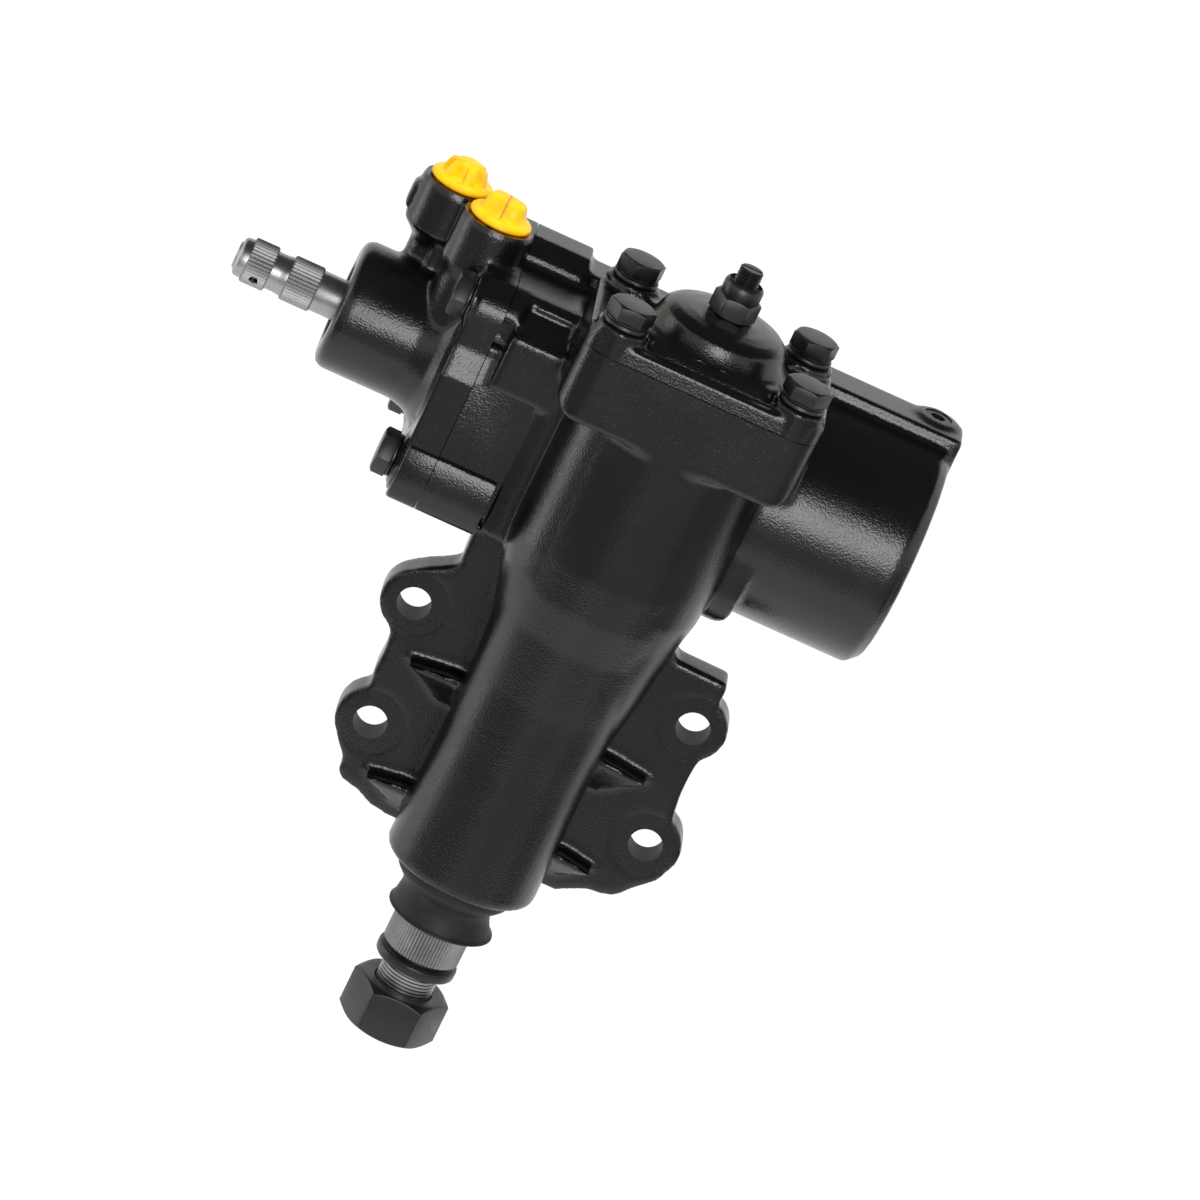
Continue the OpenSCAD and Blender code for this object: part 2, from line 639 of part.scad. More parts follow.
// Stepped dome on the cover, round the adjusting screw.
module dome() rotate_extrude() polygon([
    [0, cover_joint + 1], [36.8, cover_joint + 1], [36.8, plate_top - 0.5], [35, plate_top + 0.8],
    [31.5, plate_top + 2.2], [29, plate_top + 4.5], [27.2, plate_top + 8], [26, dome_top - 4.5],
    [23, dome_top - 2], [17, dome_top - 0.8], [13, dome_top - 0.5], [9.8, dome_top], [0, dome_top]]);

module side_cover() color(black_paint) at_cross() difference() {
    union() {
        translate([0, 0, cover_joint]) linear_extrude(cover_t)
            rounded(cover_half_x, cover_half_y, cover_corner_r);
        corners(cover_bolt_x, cover_bolt_y) bar(cover_joint, bolt_seat, 11);
        dome();
        for (x = [-1, 1], y = [-1, 1]) rotate(atan2(y * cover_bolt_y, x * cover_bolt_x))
            translate([22, -6, plate_top - 1]) cube([18, 12, cover_boss_h - 0.5]);
        bar(bush_bottom, cover_joint + 1, chamber_r - press - 0.2);
    }
    bar(bush_bottom - 1, journal_top + 3, bush_r);
    bar(journal_top, dome_top + 1, screw_d / 2 + running);
    ring(cover_joint - 5, cover_joint - 2, chamber_r + 1, chamber_r - 2.6);
    corners(cover_bolt_x, cover_bolt_y) bar(cover_joint - 1, dome_top, bolt_d / 2 + 0.3);
}

module side_cover_seal() color(rubber) at_cross()
    ring(cover_joint - 4.8, cover_joint - 2.2, chamber_r - press, chamber_r - 2.6 + press);

module side_cover_bolts() color(black_steel) at_cross() corners(cover_bolt_x, cover_bolt_y)
    translate([0, 0, bolt_seat + washer_t]) rotate(10) bolt(cover_t + cover_boss_h + washer_t + 16);

module side_cover_washers() color(black_steel) at_cross() corners(cover_bolt_x, cover_bolt_y)
    ring(bolt_seat, bolt_seat + washer_t, bolt_af / 2 * 1.1, bolt_d / 2 + 0.2);

module gallery_plug() color(black_steel) at_cross()
    translate([gallery_pad_x, gallery_y0 + gallery_w - 7, 0]) difference() {
        bar(gallery_top - 8.5, gallery_top + 1, gallery_plug_d / 2 - press);
        translate([0, 0, gallery_top - 4]) cylinder(r = 3.4, h = 8, $fn = 6);
    }

module adjuster_locknut() color(black_steel) at_cross() difference() {
    union() {
        translate([0, 0, dome_top]) hexagon(bolt_af, locknut_h, true, true);
        bar(dome_top + locknut_h - 1, locknut_top, bolt_af / 2 * 0.96);
    }
    bar(dome_top - 1, locknut_top + 1, screw_d / 2 + running);
    bar(locknut_top - 1.5, locknut_top + 1, screw_d / 2 + 1.6);
}

module upper_bush() color(bronze) at_cross()
    ring(bush_bottom, journal_top, bush_r - press, top_journal_d / 2 + running);

// Needle bearing: a drawn shell with rollers inside it.
module needle_bearing(z, l) {
    shell = 1.2;
    count = 22;
    roller_r = (bearing_bore_r - shell - shaft_r) / 2 - running;
    difference() {
        bar(z - l / 2, z + l / 2, bearing_bore_r - press);
        bar(z - l / 2 + shell, z + l / 2 - shell, bearing_bore_r - shell);
        bar(z - l, z + l, shaft_r + 0.6);
    }
    for (i = [0 : count - 1]) rotate(i * 360 / count) translate([shaft_r + running + roller_r, 0, 0])
        bar(z - l / 2 + shell + 0.2, z + l / 2 - shell - 0.2, roller_r);
}

module middle_bearing() color(steel) at_cross() needle_bearing(middle_bearing_z, shaft_bearing_l);

module lower_bearing() color(steel) at_cross() needle_bearing(lower_bearing_z, shaft_bearing_l);

module shaft_oil_seal() color(rubber) at_cross()
    ring(tube_end + 4, tube_end + 4 + shaft_seal_t, shaft_seal_d / 2 - press, shaft_r + running);

module seal_retaining_ring() color(black_steel) at_cross()
    ring(tube_end + 1.8, tube_end + 3.8, shaft_seal_d / 2 - press, shaft_r + 3);

module dust_boot() color(rubber) at_cross() rotate_extrude() {
    top = tube_end - 0.2;
    inner = shaft_r + running;
    polygon([
        [inner + 3, top], [inner, top - 2], [inner, top - 7], [inner + 1, top - 11],
        [boot_waist_r - 2, top - 14], [boot_lip_r - 1.8, top - boot_h],
        [boot_lip_r, top - boot_h], [boot_lip_r, top - boot_h + 1.6],
        [boot_lip_r - 1.2, top - boot_h + 3], [boot_waist_r + 0.4, top - 15], [boot_waist_r, top - 11.5],
        [boot_waist_r + 1.2, top - 9], [boot_flange_r - 1.5, top - 6.4], [boot_flange_r, top - 5],
        [boot_flange_r, top - 1], [boot_flange_r - 1, top]]);
}

module worm_bearing_outer_race() color(steel) at_cross() at_worm_local() difference() {
    bar(-bearing_back_x, -bearing_back_x + worm_bearing_l, worm_bearing_r - press);
    bar(-bearing_back_x - 1, -bearing_back_x + worm_bearing_l + 1, worm_bearing_r - 4);
    translate([0, 0, race_z]) rotate_extrude()
        translate([race_r, 0]) circle(bearing_ball_r + running);
}

module worm_bearing_balls() color(bright_steel) at_cross() at_worm_local()
    for (i = [0 : 13]) rotate(i * 360 / 14) translate([race_r, 0, race_z]) sphere(bearing_ball_r);

module worm_bearing_inner_race() color(steel) at_cross() at_worm_local() difference() {
    bar(-bearing_back_x, -bearing_back_x + worm_bearing_l, journal_r + 4);
    bar(-bearing_back_x - 1, -bearing_back_x + worm_bearing_l + 1, journal_r + press);
    translate([0, 0, race_z]) rotate_extrude()
        translate([race_r, 0]) circle(bearing_ball_r + running);
}

module bearing_ring_nut() color(black_steel) at_cross() at_worm_local() difference() {
    ring(-bearing_back_x + worm_bearing_l, -joint_x + spigot_l - 0.5,
        worm_bearing_r - press, worm_bearing_r - 6);
    for (a = [0 : 90 : 270]) rotate(a) translate([worm_bearing_r - 3, 0, -joint_x + spigot_l - 1])
        cube([8, 4, 4], center = true);
}

module input_bearing() color(steel) at_cross() at_worm_local() {
    start = -neck_face_x + seal_seat_l;
    shell = 1.4;
    roller_r = (needle_seat_r - shell - rib_r) / 2 - running;
    ring(start, start + needle_seat_l, needle_seat_r - press, needle_seat_r - shell);
    for (a = [0 : 20 : 340]) rotate(a) translate([rib_r + running + roller_r, 0, 0])
        bar(start + 0.8, start + needle_seat_l - 0.8, roller_r);
}

module input_oil_seal() color(rubber) at_cross() at_worm_local()
    ring(-neck_face_x + 2.6, -neck_face_x + seal_seat_l, seal_seat_r - press, plain_r + running);

module seal_clip() color(black_steel) at_cross() at_worm_local() difference() {
    ring(-neck_face_x + 1, -neck_face_x + 2.4, seal_seat_r - press, seal_seat_r - 3);
    translate([0, seal_seat_r, -neck_face_x + 2]) cube([5, 9, 6], center = true);
}

module port_seat(x, side) translate([-x, worm_offset + side * port_side, port_top - 17]) difference() {
    rotate_extrude() polygon([[0, 0], [port_thread_d / 2 - press, 0], [port_thread_d / 2 - press, 2.5],
        [4.6, 2.5], [2.2, 6], [0, 6]]);
    bar(-1, 10, 1.6);
}

module port_seats() color(bronze) at_cross() {
    port_seat(first_port_x, 1);
    port_seat(second_port_x, -1);
}

// Shipping plug: a round flange with a grip on top and a hollow stem in the port.
module port_plug(x, side, winged) translate([-x, worm_offset + side * port_side, port_top]) {
    difference() {
        union() {
            bar(-11, 0.5, port_thread_d / 2 - loose);
            translate([0, 0, loose]) rotate_extrude()
                polygon([[0, 0], [12.6, 0], [13, 0.6], [13, 1.8], [12, 2.6], [9.5, 3.6], [0, 3.6]]);
            translate([0, 0, 2]) cylinder(r1 = 9, r2 = 7.2, h = 8.6);
            if (winged) for (a = [12, 72, 132]) rotate(a) translate([-9, -2.2, 3]) cube([18, 4.4, 6.4]);
            else rotate(-20) translate([-8.4, -5.5, 2.8]) cube([16.8, 11, 6.6]);
        }
        bar(-12, -1, port_thread_d / 2 - loose - 1.6);
        if (!winged) rotate(-20) translate([-10, -0.5, 8.6]) cube([20, 1, 4]);
    }
}

module pressure_port_plug() color(yellow_plastic) at_cross() port_plug(first_port_x, 1, true);

module return_port_plug() color(yellow_plastic) at_cross() port_plug(second_port_x, -1, false);

// Gear teeth that stay in mesh with the rack over the whole swing.
module sector_teeth() translate([0, 0, -sector_height / 2]) linear_extrude(sector_height) {
    circle(root_r);
    for (i = [-1 : 1]) rotate(i * 360 / teeth_per_turn) polygon(gear_tooth);
}

module sector_shaft() color(steel) at_cross() difference() {
    union() {
        sector_teeth();
        bar(serration_bottom + serration_l + 1, sector_height / 2, shaft_r);
        translate([0, 0, serration_bottom + serration_l]) cylinder(r1 = serration_r, r2 = shaft_r, h = 1.01);
        serrated(serration_bottom, serration_bottom + serration_l + eps,
            serration_r, serration_count, serration_w, serration_depth);
        translate([0, 0, serration_bottom - 1.5])
            cylinder(r1 = serration_r - 1.6, r2 = serration_r - 0.5, h = 1.51);
        bar(sector_height / 2 - 1, journal_top - 1, top_journal_d / 2);
        bar(washer_top - lock_washer_t, serration_bottom + 1, arm_thread_d / 2 - 0.9);
        ringed_thread(thread_end, washer_top - lock_washer_t + 1, arm_thread_d, arm_thread_pitch);
    }
    bar(screw_head_z - 6, journal_top, 9);
    translate([0, 0, thread_end - 1]) cylinder(r1 = 4, r2 = 0.5, h = 4);
}

module screw_retainer() color(steel) at_cross()
    ring(screw_head_z + 1.2, journal_top - 1, 9 - press, screw_d / 2 + 0.3);

module adjusting_screw() color(black_steel) at_cross() difference() {
    union() {
        bar(screw_head_z - 5, screw_head_z + 1, 8);
        bar(screw_head_z, dome_top + locknut_h + 2, screw_d / 2);
        ringed_thread(dome_top + locknut_h + 1, screw_tip, screw_d, 1.25);
    }
    translate([0, 0, screw_tip]) cube([screw_d + 1, 1.6, 5], center = true);
}

module lock_washer() color(black_steel) at_cross() difference() {
    ring(washer_top - lock_washer_t, washer_top, lock_washer_d / 2, arm_thread_d / 2 + 0.3);
    rotate(60) translate([lock_washer_d / 2 - 2, 0, washer_top - lock_washer_t / 2])
        rotate([25, 0, 0]) cube([14, 1.4, 14], center = true);
}

module arm_nut() color(black_steel) at_cross() translate([0, 0, nut_top - arm_nut_h]) rotate(-1) difference() {
    hexagon(arm_nut_af, arm_nut_h, true, true);
    bar(-1, arm_nut_h + 1, arm_thread_d / 2 + running);
    translate([0, 0, arm_nut_h - 1.2]) cylinder(r1 = arm_thread_d / 2, r2 = arm_thread_d / 2 + 1.8, h = 1.8);
}

// Cross-section of the rack's teeth, seen along the output shaft.
module rack_profile() {
    tooth_half = rack_pitch / 4 - flank_play;
    slope = tan(pressure_angle);
    root_y = sector_pitch_r + dedendum;
    tip_y = sector_pitch_r - addendum;
    for (i = [-1.5 : 1 : 1.5]) translate([i * rack_pitch, 0]) polygon([
        [-tooth_half + addendum * slope, tip_y],
        [tooth_half - addendum * slope, tip_y],
        [tooth_half + dedendum * slope, root_y],
        [tooth_half + dedendum * slope, root_y + 1],
        [-tooth_half - dedendum * slope, root_y + 1],
        [-tooth_half - dedendum * slope, root_y]]);
}

guide_pocket_y = worm_offset + 24;
guide_tube_r = ball_r + 0.9;
guide_bend_r = guide_tube_r + 1.3;

module rack_piston() color(steel) at_cross() difference() {
    at_worm_local() bar(piston_left, piston_right, piston_r);
    difference() {
        translate([-slot_half, -20, -piston_r - 1])
            cube([2 * slot_half, sector_pitch_r + dedendum + 20, 2 * piston_r + 2]);
        translate([0, 0, -piston_r - 2]) linear_extrude(2 * piston_r + 4) rack_profile();
    }
    at_worm_local() {
        bar(piston_left - 1, nut_bore_end, nut_bore_r);
        ring(piston_left + 2.5, piston_left + 5.5, piston_r + 1, piston_r - 2.6);
    }
    translate([circuit_start - 9, guide_pocket_y, -11]) cube([circuit_l + 18, 40, 22]);
    for (x = [circuit_start, circuit_end]) translate([x, worm_offset, 0]) rotate([-90, 0, 0])
        bar(nut_bore_r - 2, 40, guide_tube_r + 0.1);
    for (s = [-1, 1]) translate([circuit_middle, guide_pocket_y, s * 7.5]) rotate([90, 0, 0])
        bar(-1, 8, 2.1);
}

module piston_ring() color([0.85, 0.85, 0.8]) at_cross() at_worm_local()
    ring(piston_left + 2.6, piston_left + 5.4, piston_bore_d / 2 - running, piston_r - 2.6 + press);

// Balls in mesh with the worm's groove.
module circuit_balls() color(bright_steel) at_cross() at_worm_local()
    for (i = [0 : circuit_turns * balls_per_turn]) {
        x = circuit_start + i * worm_lead / balls_per_turn;
        rotate(360 * x / worm_lead) translate([ball_circle_r, 0, x]) sphere(ball_r);
    }

// Path of the return tube: a leg up from each end of the circuit, two bends and a straight.
module guide_path(r, start) {
    rise = guide_tube_r + 1.5 + guide_pocket_y - worm_offset;
    for (side = [0, 1]) translate([circuit_middle, worm_offset, 0]) mirror([side, 0, 0]) {
        translate([-circuit_l / 2, 0, 0]) rotate([-90, 0, 0]) bar(start, rise - guide_bend_r, r);
        translate([guide_bend_r - circuit_l / 2, rise - guide_bend_r, 0]) rotate(90) rotate_extrude(angle = 90)
            translate([guide_bend_r, 0]) circle(r);
    }
    translate([circuit_middle, worm_offset + rise, 0]) rotate([0, 90, 0])
        bar(guide_bend_r - circuit_l / 2, circuit_l / 2 - guide_bend_r, r);
}

// Tube that carries the balls back to the start of the circuit.
module return_guide() color(steel) at_cross() difference() {
    guide_path(guide_tube_r, nut_bore_r);
    guide_path(ball_r + 0.1, nut_bore_r - 1);
}

clamp_y = guide_pocket_y + 2 * guide_tube_r + 1.7;

module guide_clamp() color(steel) at_cross() difference() {
    translate([circuit_middle - 5, guide_pocket_y, -10.5]) cube([10, clamp_y - guide_pocket_y + 1.2, 21]);
    translate([circuit_middle - 6, guide_pocket_y - 1, -guide_tube_r - 0.2])
        cube([12, clamp_y - guide_pocket_y + 1, 2 * guide_tube_r + 0.4]);
    for (s = [-1, 1]) translate([circuit_middle, guide_pocket_y, s * 7.5]) rotate([-90, 0, 0])
        bar(-1, 20, 2.3);
}

module guide_clamp_screws() color(black_steel) at_cross() for (s = [-1, 1])
    translate([circuit_middle, clamp_y + 1.2, s * 7.5]) rotate([-90, 0, 0]) difference() {
        union() {
            bar(-(clamp_y + 1.2 - guide_pocket_y) - 6, 0, 2);
            bar(0, 2, 3);
        }
        bar(0.8, 3, 1.3);
    }

// Cross-section of the worm, with a round groove wide enough for the balls.
module worm_section() polygon([for (a = [0 : 20 : 340])
    let (off = a > 180 ? a - 360 : a, s = worm_lead * off / 360,
         cut = groove_r * groove_r - s * s,
         r = min(worm_r, ball_circle_r - (cut > 0 ? sqrt(cut) : 0)))
    [r * cos(a), r * sin(a)]]);

module worm_shaft() color(steel) at_cross() at_worm_local() difference() {
    union() {
        bar(head_start, -bearing_back_x + worm_bearing_l + 1.5, journal_r);
        bar(-bearing_back_x + worm_bearing_l + 1, groove_start + 1, worm_r);
        translate([0, 0, groove_start]) rotate(360 * groove_start / worm_lead)
            linear_extrude(groove_l, twist = -360 * groove_l / worm_lead,
                slices = ceil(12 * groove_l / worm_lead), $fn = 12) worm_section();
    }
    bar(head_start - 1, -bearing_back_x + 6, 6.4);
    bar(head_start - 1, -joint_x + 30, bar_r + running);
    drive_pin(press);
}

module valve_sleeve() color(steel) at_cross() at_worm_local() difference() {
    bar(sleeve_start, sleeve_end, sleeve_r - 0.2);
    bar(sleeve_start - 1, sleeve_end + 1, rotor_r + running);
    for (i = [0 : 3]) translate([0, 0, sleeve_start + 1.5 + land_pitch * i])
        ring(0, 0.3 * land_pitch, sleeve_r + 1, sleeve_r - 1.6);
    for (i = [0 : 2]) translate([0, 0, sleeve_start + 1.5 + land_pitch * (i + 0.485)]) {
        ring(0, land_pitch / 3, sleeve_r + 1, sleeve_r - 2);
        if (i != 1) for (a = [0 : 60 : 300]) rotate(a + 20 * i) translate([0, 0, land_pitch / 6])
            rotate([0, 90, 0]) bar(rotor_r - 1, sleeve_r, land_pitch * 0.15);
    }
    drive_pin(press);
}

module sleeve_rings() color([0.25, 0.4, 0.3]) at_cross() at_worm_local() for (i = [0 : 3])
    translate([0, 0, sleeve_start + 1.6 + land_pitch * i])
        ring(0, 0.3 * land_pitch - 0.2, valve_bore_r - running, sleeve_r - 1.6 + press);

module sleeve_pin() color(steel) at_cross() at_worm_local() drive_pin(0);

// The pin that makes the sleeve turn with the worm; its holes are drawn with some play.
module drive_pin(play) rotate(90) translate([journal_r - 1.6, 0, 0])
    bar(sleeve_end - drive_pin_l - play, head_start + drive_pin_l + play, drive_pin_r + play);

module input_shaft() color(bright_steel) at_cross() at_worm_local() difference() {
    union() {
        rotate_extrude() polygon([
            [0, input_tip], [input_r - 3, input_tip], [input_r - 1.2, input_tip + 1.4],
            [input_r - 0.7, input_tip + 3], [input_r - 0.4, spline_1_start + eps], [0, spline_1_start + eps]]);
        serrated(spline_1_start, spline_1_end, input_r, input_grooves, 0.34, input_step + 0.1);
        bar(spline_1_end - eps, spline_2_start + eps, plain_r - 0.6);
        serrated(spline_2_start, spline_2_end, input_r, input_grooves, 0.34, input_step + 0.1);
        bar(spline_2_end - eps, -neck_face_x + seal_seat_l + 0.5, plain_r);
        bar(-neck_face_x + seal_seat_l + 0.4, sleeve_start - 2, rib_r);
        bar(sleeve_start - 2.01, sleeve_end - 3, rotor_r);
        bar(sleeve_end - 3.01, -bearing_back_x + 4, 6);
    }
    bar(input_tip + 6, 0, bar_r + 0.25);
    for (a = [30 : 60 : 330]) rotate(a) translate([rotor_r, 0, (sleeve_start + sleeve_end) / 2])
        cube([2.4, 3, 0.6 * (sleeve_end - sleeve_start)], center = true);
    at_cross_pin() bar(-20, 20, cross_pin_r);
}

// Direction and radius of the pin through the torsion bar and the input shaft.
pin_angle = -60;
cross_pin_r = 1.5;

module at_cross_pin() translate([0, 0, (spline_1_start + spline_1_end) / 2])
    rotate([0, 90, pin_angle]) children();

module torsion_bar() color(steel) at_cross() at_worm_local() difference() {
    union() {
        bar(input_tip + 7, input_tip + 24, bar_r);
        bar(input_tip + 23.9, -flange_face_x + 12, bar_r - 0.6);
        bar(-flange_face_x + 11.9, -joint_x + 29, bar_r);
    }
    at_cross_pin() bar(-20, 20, cross_pin_r);
}

module torsion_pin() color(steel) at_cross() at_worm_local()
    at_cross_pin() bar(-input_r + 2, input_r - 2, cross_pin_r - press);

gear_housing();
valve_housing();
side_cover();
valve_housing_seal();
side_cover_seal();
valve_housing_bolts();
side_cover_bolts();
side_cover_washers();
gallery_plug();
adjuster_locknut();
upper_bush();
middle_bearing();
lower_bearing();
shaft_oil_seal();
seal_retaining_ring();
dust_boot();
worm_bearing_outer_race();
worm_bearing_balls();
bearing_ring_nut();
input_bearing();
input_oil_seal();
seal_clip();
port_seats();
sector_shaft();
screw_retainer();
lock_washer();
arm_nut();
adjusting_screw();
rack_piston();
piston_ring();
circuit_balls();
return_guide();
guide_clamp();
guide_clamp_screws();
worm_shaft();
worm_bearing_inner_race();
valve_sleeve();
sleeve_rings();
sleeve_pin();
input_shaft();
torsion_bar();
torsion_pin();
pressure_port_plug();
return_port_plug();
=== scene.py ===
import math

import bmesh
import bpy
from mathutils import Matrix, Vector


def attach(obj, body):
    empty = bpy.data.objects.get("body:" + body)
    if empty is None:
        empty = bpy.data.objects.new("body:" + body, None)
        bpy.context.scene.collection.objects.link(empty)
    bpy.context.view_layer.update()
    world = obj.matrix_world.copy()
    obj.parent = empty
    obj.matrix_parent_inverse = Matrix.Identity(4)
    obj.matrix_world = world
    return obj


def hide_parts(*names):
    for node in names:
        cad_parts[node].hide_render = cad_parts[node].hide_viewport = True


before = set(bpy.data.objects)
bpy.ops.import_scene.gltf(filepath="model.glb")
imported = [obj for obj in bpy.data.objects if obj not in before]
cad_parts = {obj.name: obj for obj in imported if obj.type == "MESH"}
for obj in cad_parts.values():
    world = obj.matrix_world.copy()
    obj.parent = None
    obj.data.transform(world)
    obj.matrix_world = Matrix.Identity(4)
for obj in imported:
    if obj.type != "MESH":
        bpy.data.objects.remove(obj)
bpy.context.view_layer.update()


# Gear housing: the casting that carries everything, with the piston's barrel, the output
# shaft's tube and four ears for the frame bolts. It is sand-cast iron, bored and faced, and
# sprayed with a semi-gloss black paint that still shows the grain of the sand.
MM = 0.001


class Flow:
    """A value in a material's node tree; sums and products of flows add Math nodes."""

    def __init__(self, tree, socket):
        self.tree = tree
        self.socket = socket

    def node(self, kind, settings=None, inputs=None, output=0):
        made = self.tree.nodes.new(kind)
        for name, value in (settings or {}).items():
            setattr(made, name, value)
        for name, value in (inputs or {}).items():
            if isinstance(value, Flow):
                self.tree.links.new(value.socket, made.inputs[name])
            else:
                made.inputs[name].default_value = value
        return Flow(self.tree, made.outputs[output])

    def math(self, operation, *values):
        return self.node("ShaderNodeMath", {"operation": operation}, dict(enumerate(values)))

    def vector(self, operation, other=(0, 0, 0), output=0):
        """Vector maths on a place and another; a distance or a length is output 1."""
        return self.node(
            "ShaderNodeVectorMath", {"operation": operation}, {0: self, 1: other}, output)

    def along(self, axis):
        """The place's x, y or z, as axis 0, 1 or 2."""
        return self.node("ShaderNodeSeparateXYZ", inputs={"Vector": self}, output=axis)

    def __add__(self, other):
        return self.math("ADD", self, other)

    def __sub__(self, other):
        return self.math("SUBTRACT", self, other)

    def __rsub__(self, other):
        return self.math("SUBTRACT", other, self)

    def __mul__(self, other):
        return self.math("MULTIPLY", self, other)

    __radd__ = __add__
    __rmul__ = __mul__

    def noise(self, size, detail=2.0, roughness=0.5):
        """Noise with patches of about that many millimetres."""
        return self.node("ShaderNodeTexNoise", inputs={
            "Vector": self, "Scale": 1 / (size * MM), "Detail": detail, "Roughness": roughness})

    def between(self, low, high):
        """How far the value has risen from low to high, from 0 to 1."""
        return self.node(
            "ShaderNodeMapRange", {"interpolation_type": "SMOOTHSTEP"},
            {"Value": self, "From Min": low, "From Max": high})

    def blend(self, first, second):
        """The first colour where the value is 0, the second where it is 1."""
        return self.node(
            "ShaderNodeMix", {"data_type": "RGBA"}, {0: self, 6: first, 7: second}, output=2)

    def bump(self, depth, under=None):
        """A normal raised by the value, to that many millimetres."""
        inputs = {"Height": self, "Distance": depth * MM, "Strength": 1.0}
        if under is not None:
            inputs["Normal"] = under
        return self.node("ShaderNodeBump", inputs=inputs)


def new_finish(name, **fixed):
    """A material with its constants set, the place of each point on it, and its shader."""
    finish = bpy.data.materials.new(name)
    finish.use_nodes = True
    tree = finish.node_tree
    shader = next(n for n in tree.nodes if n.type == "BSDF_PRINCIPLED")
    for socket, value in fixed.items():
        shader.inputs[socket.replace("_", " ")].default_value = value
    coordinates = tree.nodes.new("ShaderNodeTexCoord")
    return finish, Flow(tree, coordinates.outputs["Object"]), shader


def feed(shader, **flows):
    """Links flows to the shader's sockets."""
    for socket, flow in flows.items():
        flow.tree.links.new(flow.socket, shader.inputs[socket.replace("_", " ")])


def shade(level, tint=0.0):
    """A grey from an 8-bit screen level, a little bluer with tint."""
    linear = (level / 255) ** 2.2
    return (linear * (1 - tint), linear, linear * (1 + tint), 1)


def cast_paint(name, recolour=None):
    """Semi-gloss black paint over sand-cast iron."""
    finish, place, shader = new_finish(name, IOR=1.5, Specular_IOR_Level=0.5)
    sand = place.noise(0.75, 0.6, 0.5)
    peel = place.noise(3.2, 1.0)
    dust = place.noise(34, 4.0).between(0.42, 0.72)
    colour = (dust * 0.5 + sand * 0.5).blend(shade(15, 0.04), shade(23, 0.04))
    if recolour:
        colour = recolour(place, colour)
    feed(
        shader,
        Base_Color=colour,
        Roughness=sand * 0.1 + dust * 0.05 + 0.17,
        Normal=sand.bump(0.11, peel.bump(0.035)))
    return finish


def lightened_coat(name):
    """A lighter, less glossy copy of the black paint, for the walls of holes: painted light."""
    finish, place, shader = new_finish(name, IOR=1.5, Specular_IOR_Level=0.25)
    grain = place.noise(0.9, 2.0)
    # The base is much lighter than the black paint outside the holes: painted light.
    feed(
        shader,
        Base_Color=grain.blend(shade(46, 0.03), shade(58, 0.03)),
        Roughness=grain * 0.1 + 0.5,
        Normal=grain.bump(0.05))
    return finish


def new_piece(name, mesh, *finishes):
    """Turns a bmesh into a new object at the origin."""
    data = bpy.data.meshes.new(name)
    mesh.to_mesh(data)
    mesh.free()
    made = bpy.data.objects.new(name, data)
    bpy.context.scene.collection.objects.link(made)
    for finish in finishes:
        data.materials.append(finish)
    return made


def repaint(finish, *nodes):
    """Gives solid nodes a finish, and leaves their meshes alone."""
    for node in nodes:
        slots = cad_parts[node].data.materials
        slots.clear()
        slots.append(finish)
        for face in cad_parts[node].data.polygons:
            face.material_index = 0


def merged_copy(node):
    """A copy of a solid node's mesh, its loose triangles joined."""
    copy = bmesh.new()
    copy.from_mesh(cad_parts[node].data)
    bmesh.ops.remove_doubles(copy, verts=copy.verts, dist=0.002 * MM)
    return copy


def placed(mesh, data, place=Matrix()):
    """Adds a copy of a finished shape to a mesh at a place."""
    copy = data.copy()
    copy.transform(place)
    mesh.from_mesh(copy)
    bpy.data.meshes.remove(copy)


def joined(mesh, shape, place=Matrix()):
    """Adds a shape that is still being made to a mesh at a place."""
    data = bpy.data.meshes.new("shape")
    shape.to_mesh(data)
    shape.free()
    placed(mesh, data, place)
    bpy.data.meshes.remove(data)


def only(kind, geometry):
    """The corners or the edges among what an operator gives back."""
    return [part for part in geometry if isinstance(part, kind)]


def bevelled(mesh, edges, width, steps):
    """Cuts edges off, or rounds them in steps, by a width in mm."""
    bmesh.ops.bevel(
        mesh, geom=edges, offset=width * MM, segments=steps, affect="EDGES", profile=0.5,
        material=-1)


def in_slot(mesh, slot):
    """Gives a whole mesh one of its piece's finishes."""
    for face in mesh.faces:
        face.material_index = slot


def turned(mesh, profile, place=Matrix(), steps=64):
    """Spins a closed profile of (radius, height) in mm about its Z, and adds it to the mesh."""
    made = bmesh.new()
    points = [made.verts.new((r * MM, 0, h * MM)) for r, h in profile]
    edges = [made.edges.new((points[i - 1], points[i])) for i in range(len(points))]
    bmesh.ops.spin(
        made, geom=points + edges, axis=(0, 0, 1), cent=(0, 0, 0), angle=2 * math.pi,
        steps=steps, use_merge=True)
    bmesh.ops.remove_doubles(made, verts=made.verts, dist=0.001 * MM)
    flat = [f for f in made.faces if f.calc_area() < 1e-12]
    bmesh.ops.delete(made, geom=flat, context="FACES")
    bmesh.ops.recalc_face_normals(made, faces=made.faces)
    joined(mesh, made, place)


def rod(mesh, r, low, high, place=Matrix(), steps=64):
    """A plain round bar between two heights along its Z."""
    turned(mesh, [(0, low), (r, low), (r, high), (0, high)], place, steps)


def tilted(degrees, axis):
    """A turn about the X, Y or Z that a shape has so far."""
    return Matrix.Rotation(math.radians(degrees), 4, axis)


def block(mesh, low, high, place=Matrix()):
    """A box between two corners, in mm."""
    low, high = Vector(low) * MM, Vector(high) * MM
    size = Matrix.Diagonal((*(high - low), 1))
    middle = Matrix.Translation((low + high) / 2)
    bmesh.ops.create_cube(mesh, size=1, matrix=place @ middle @ size)


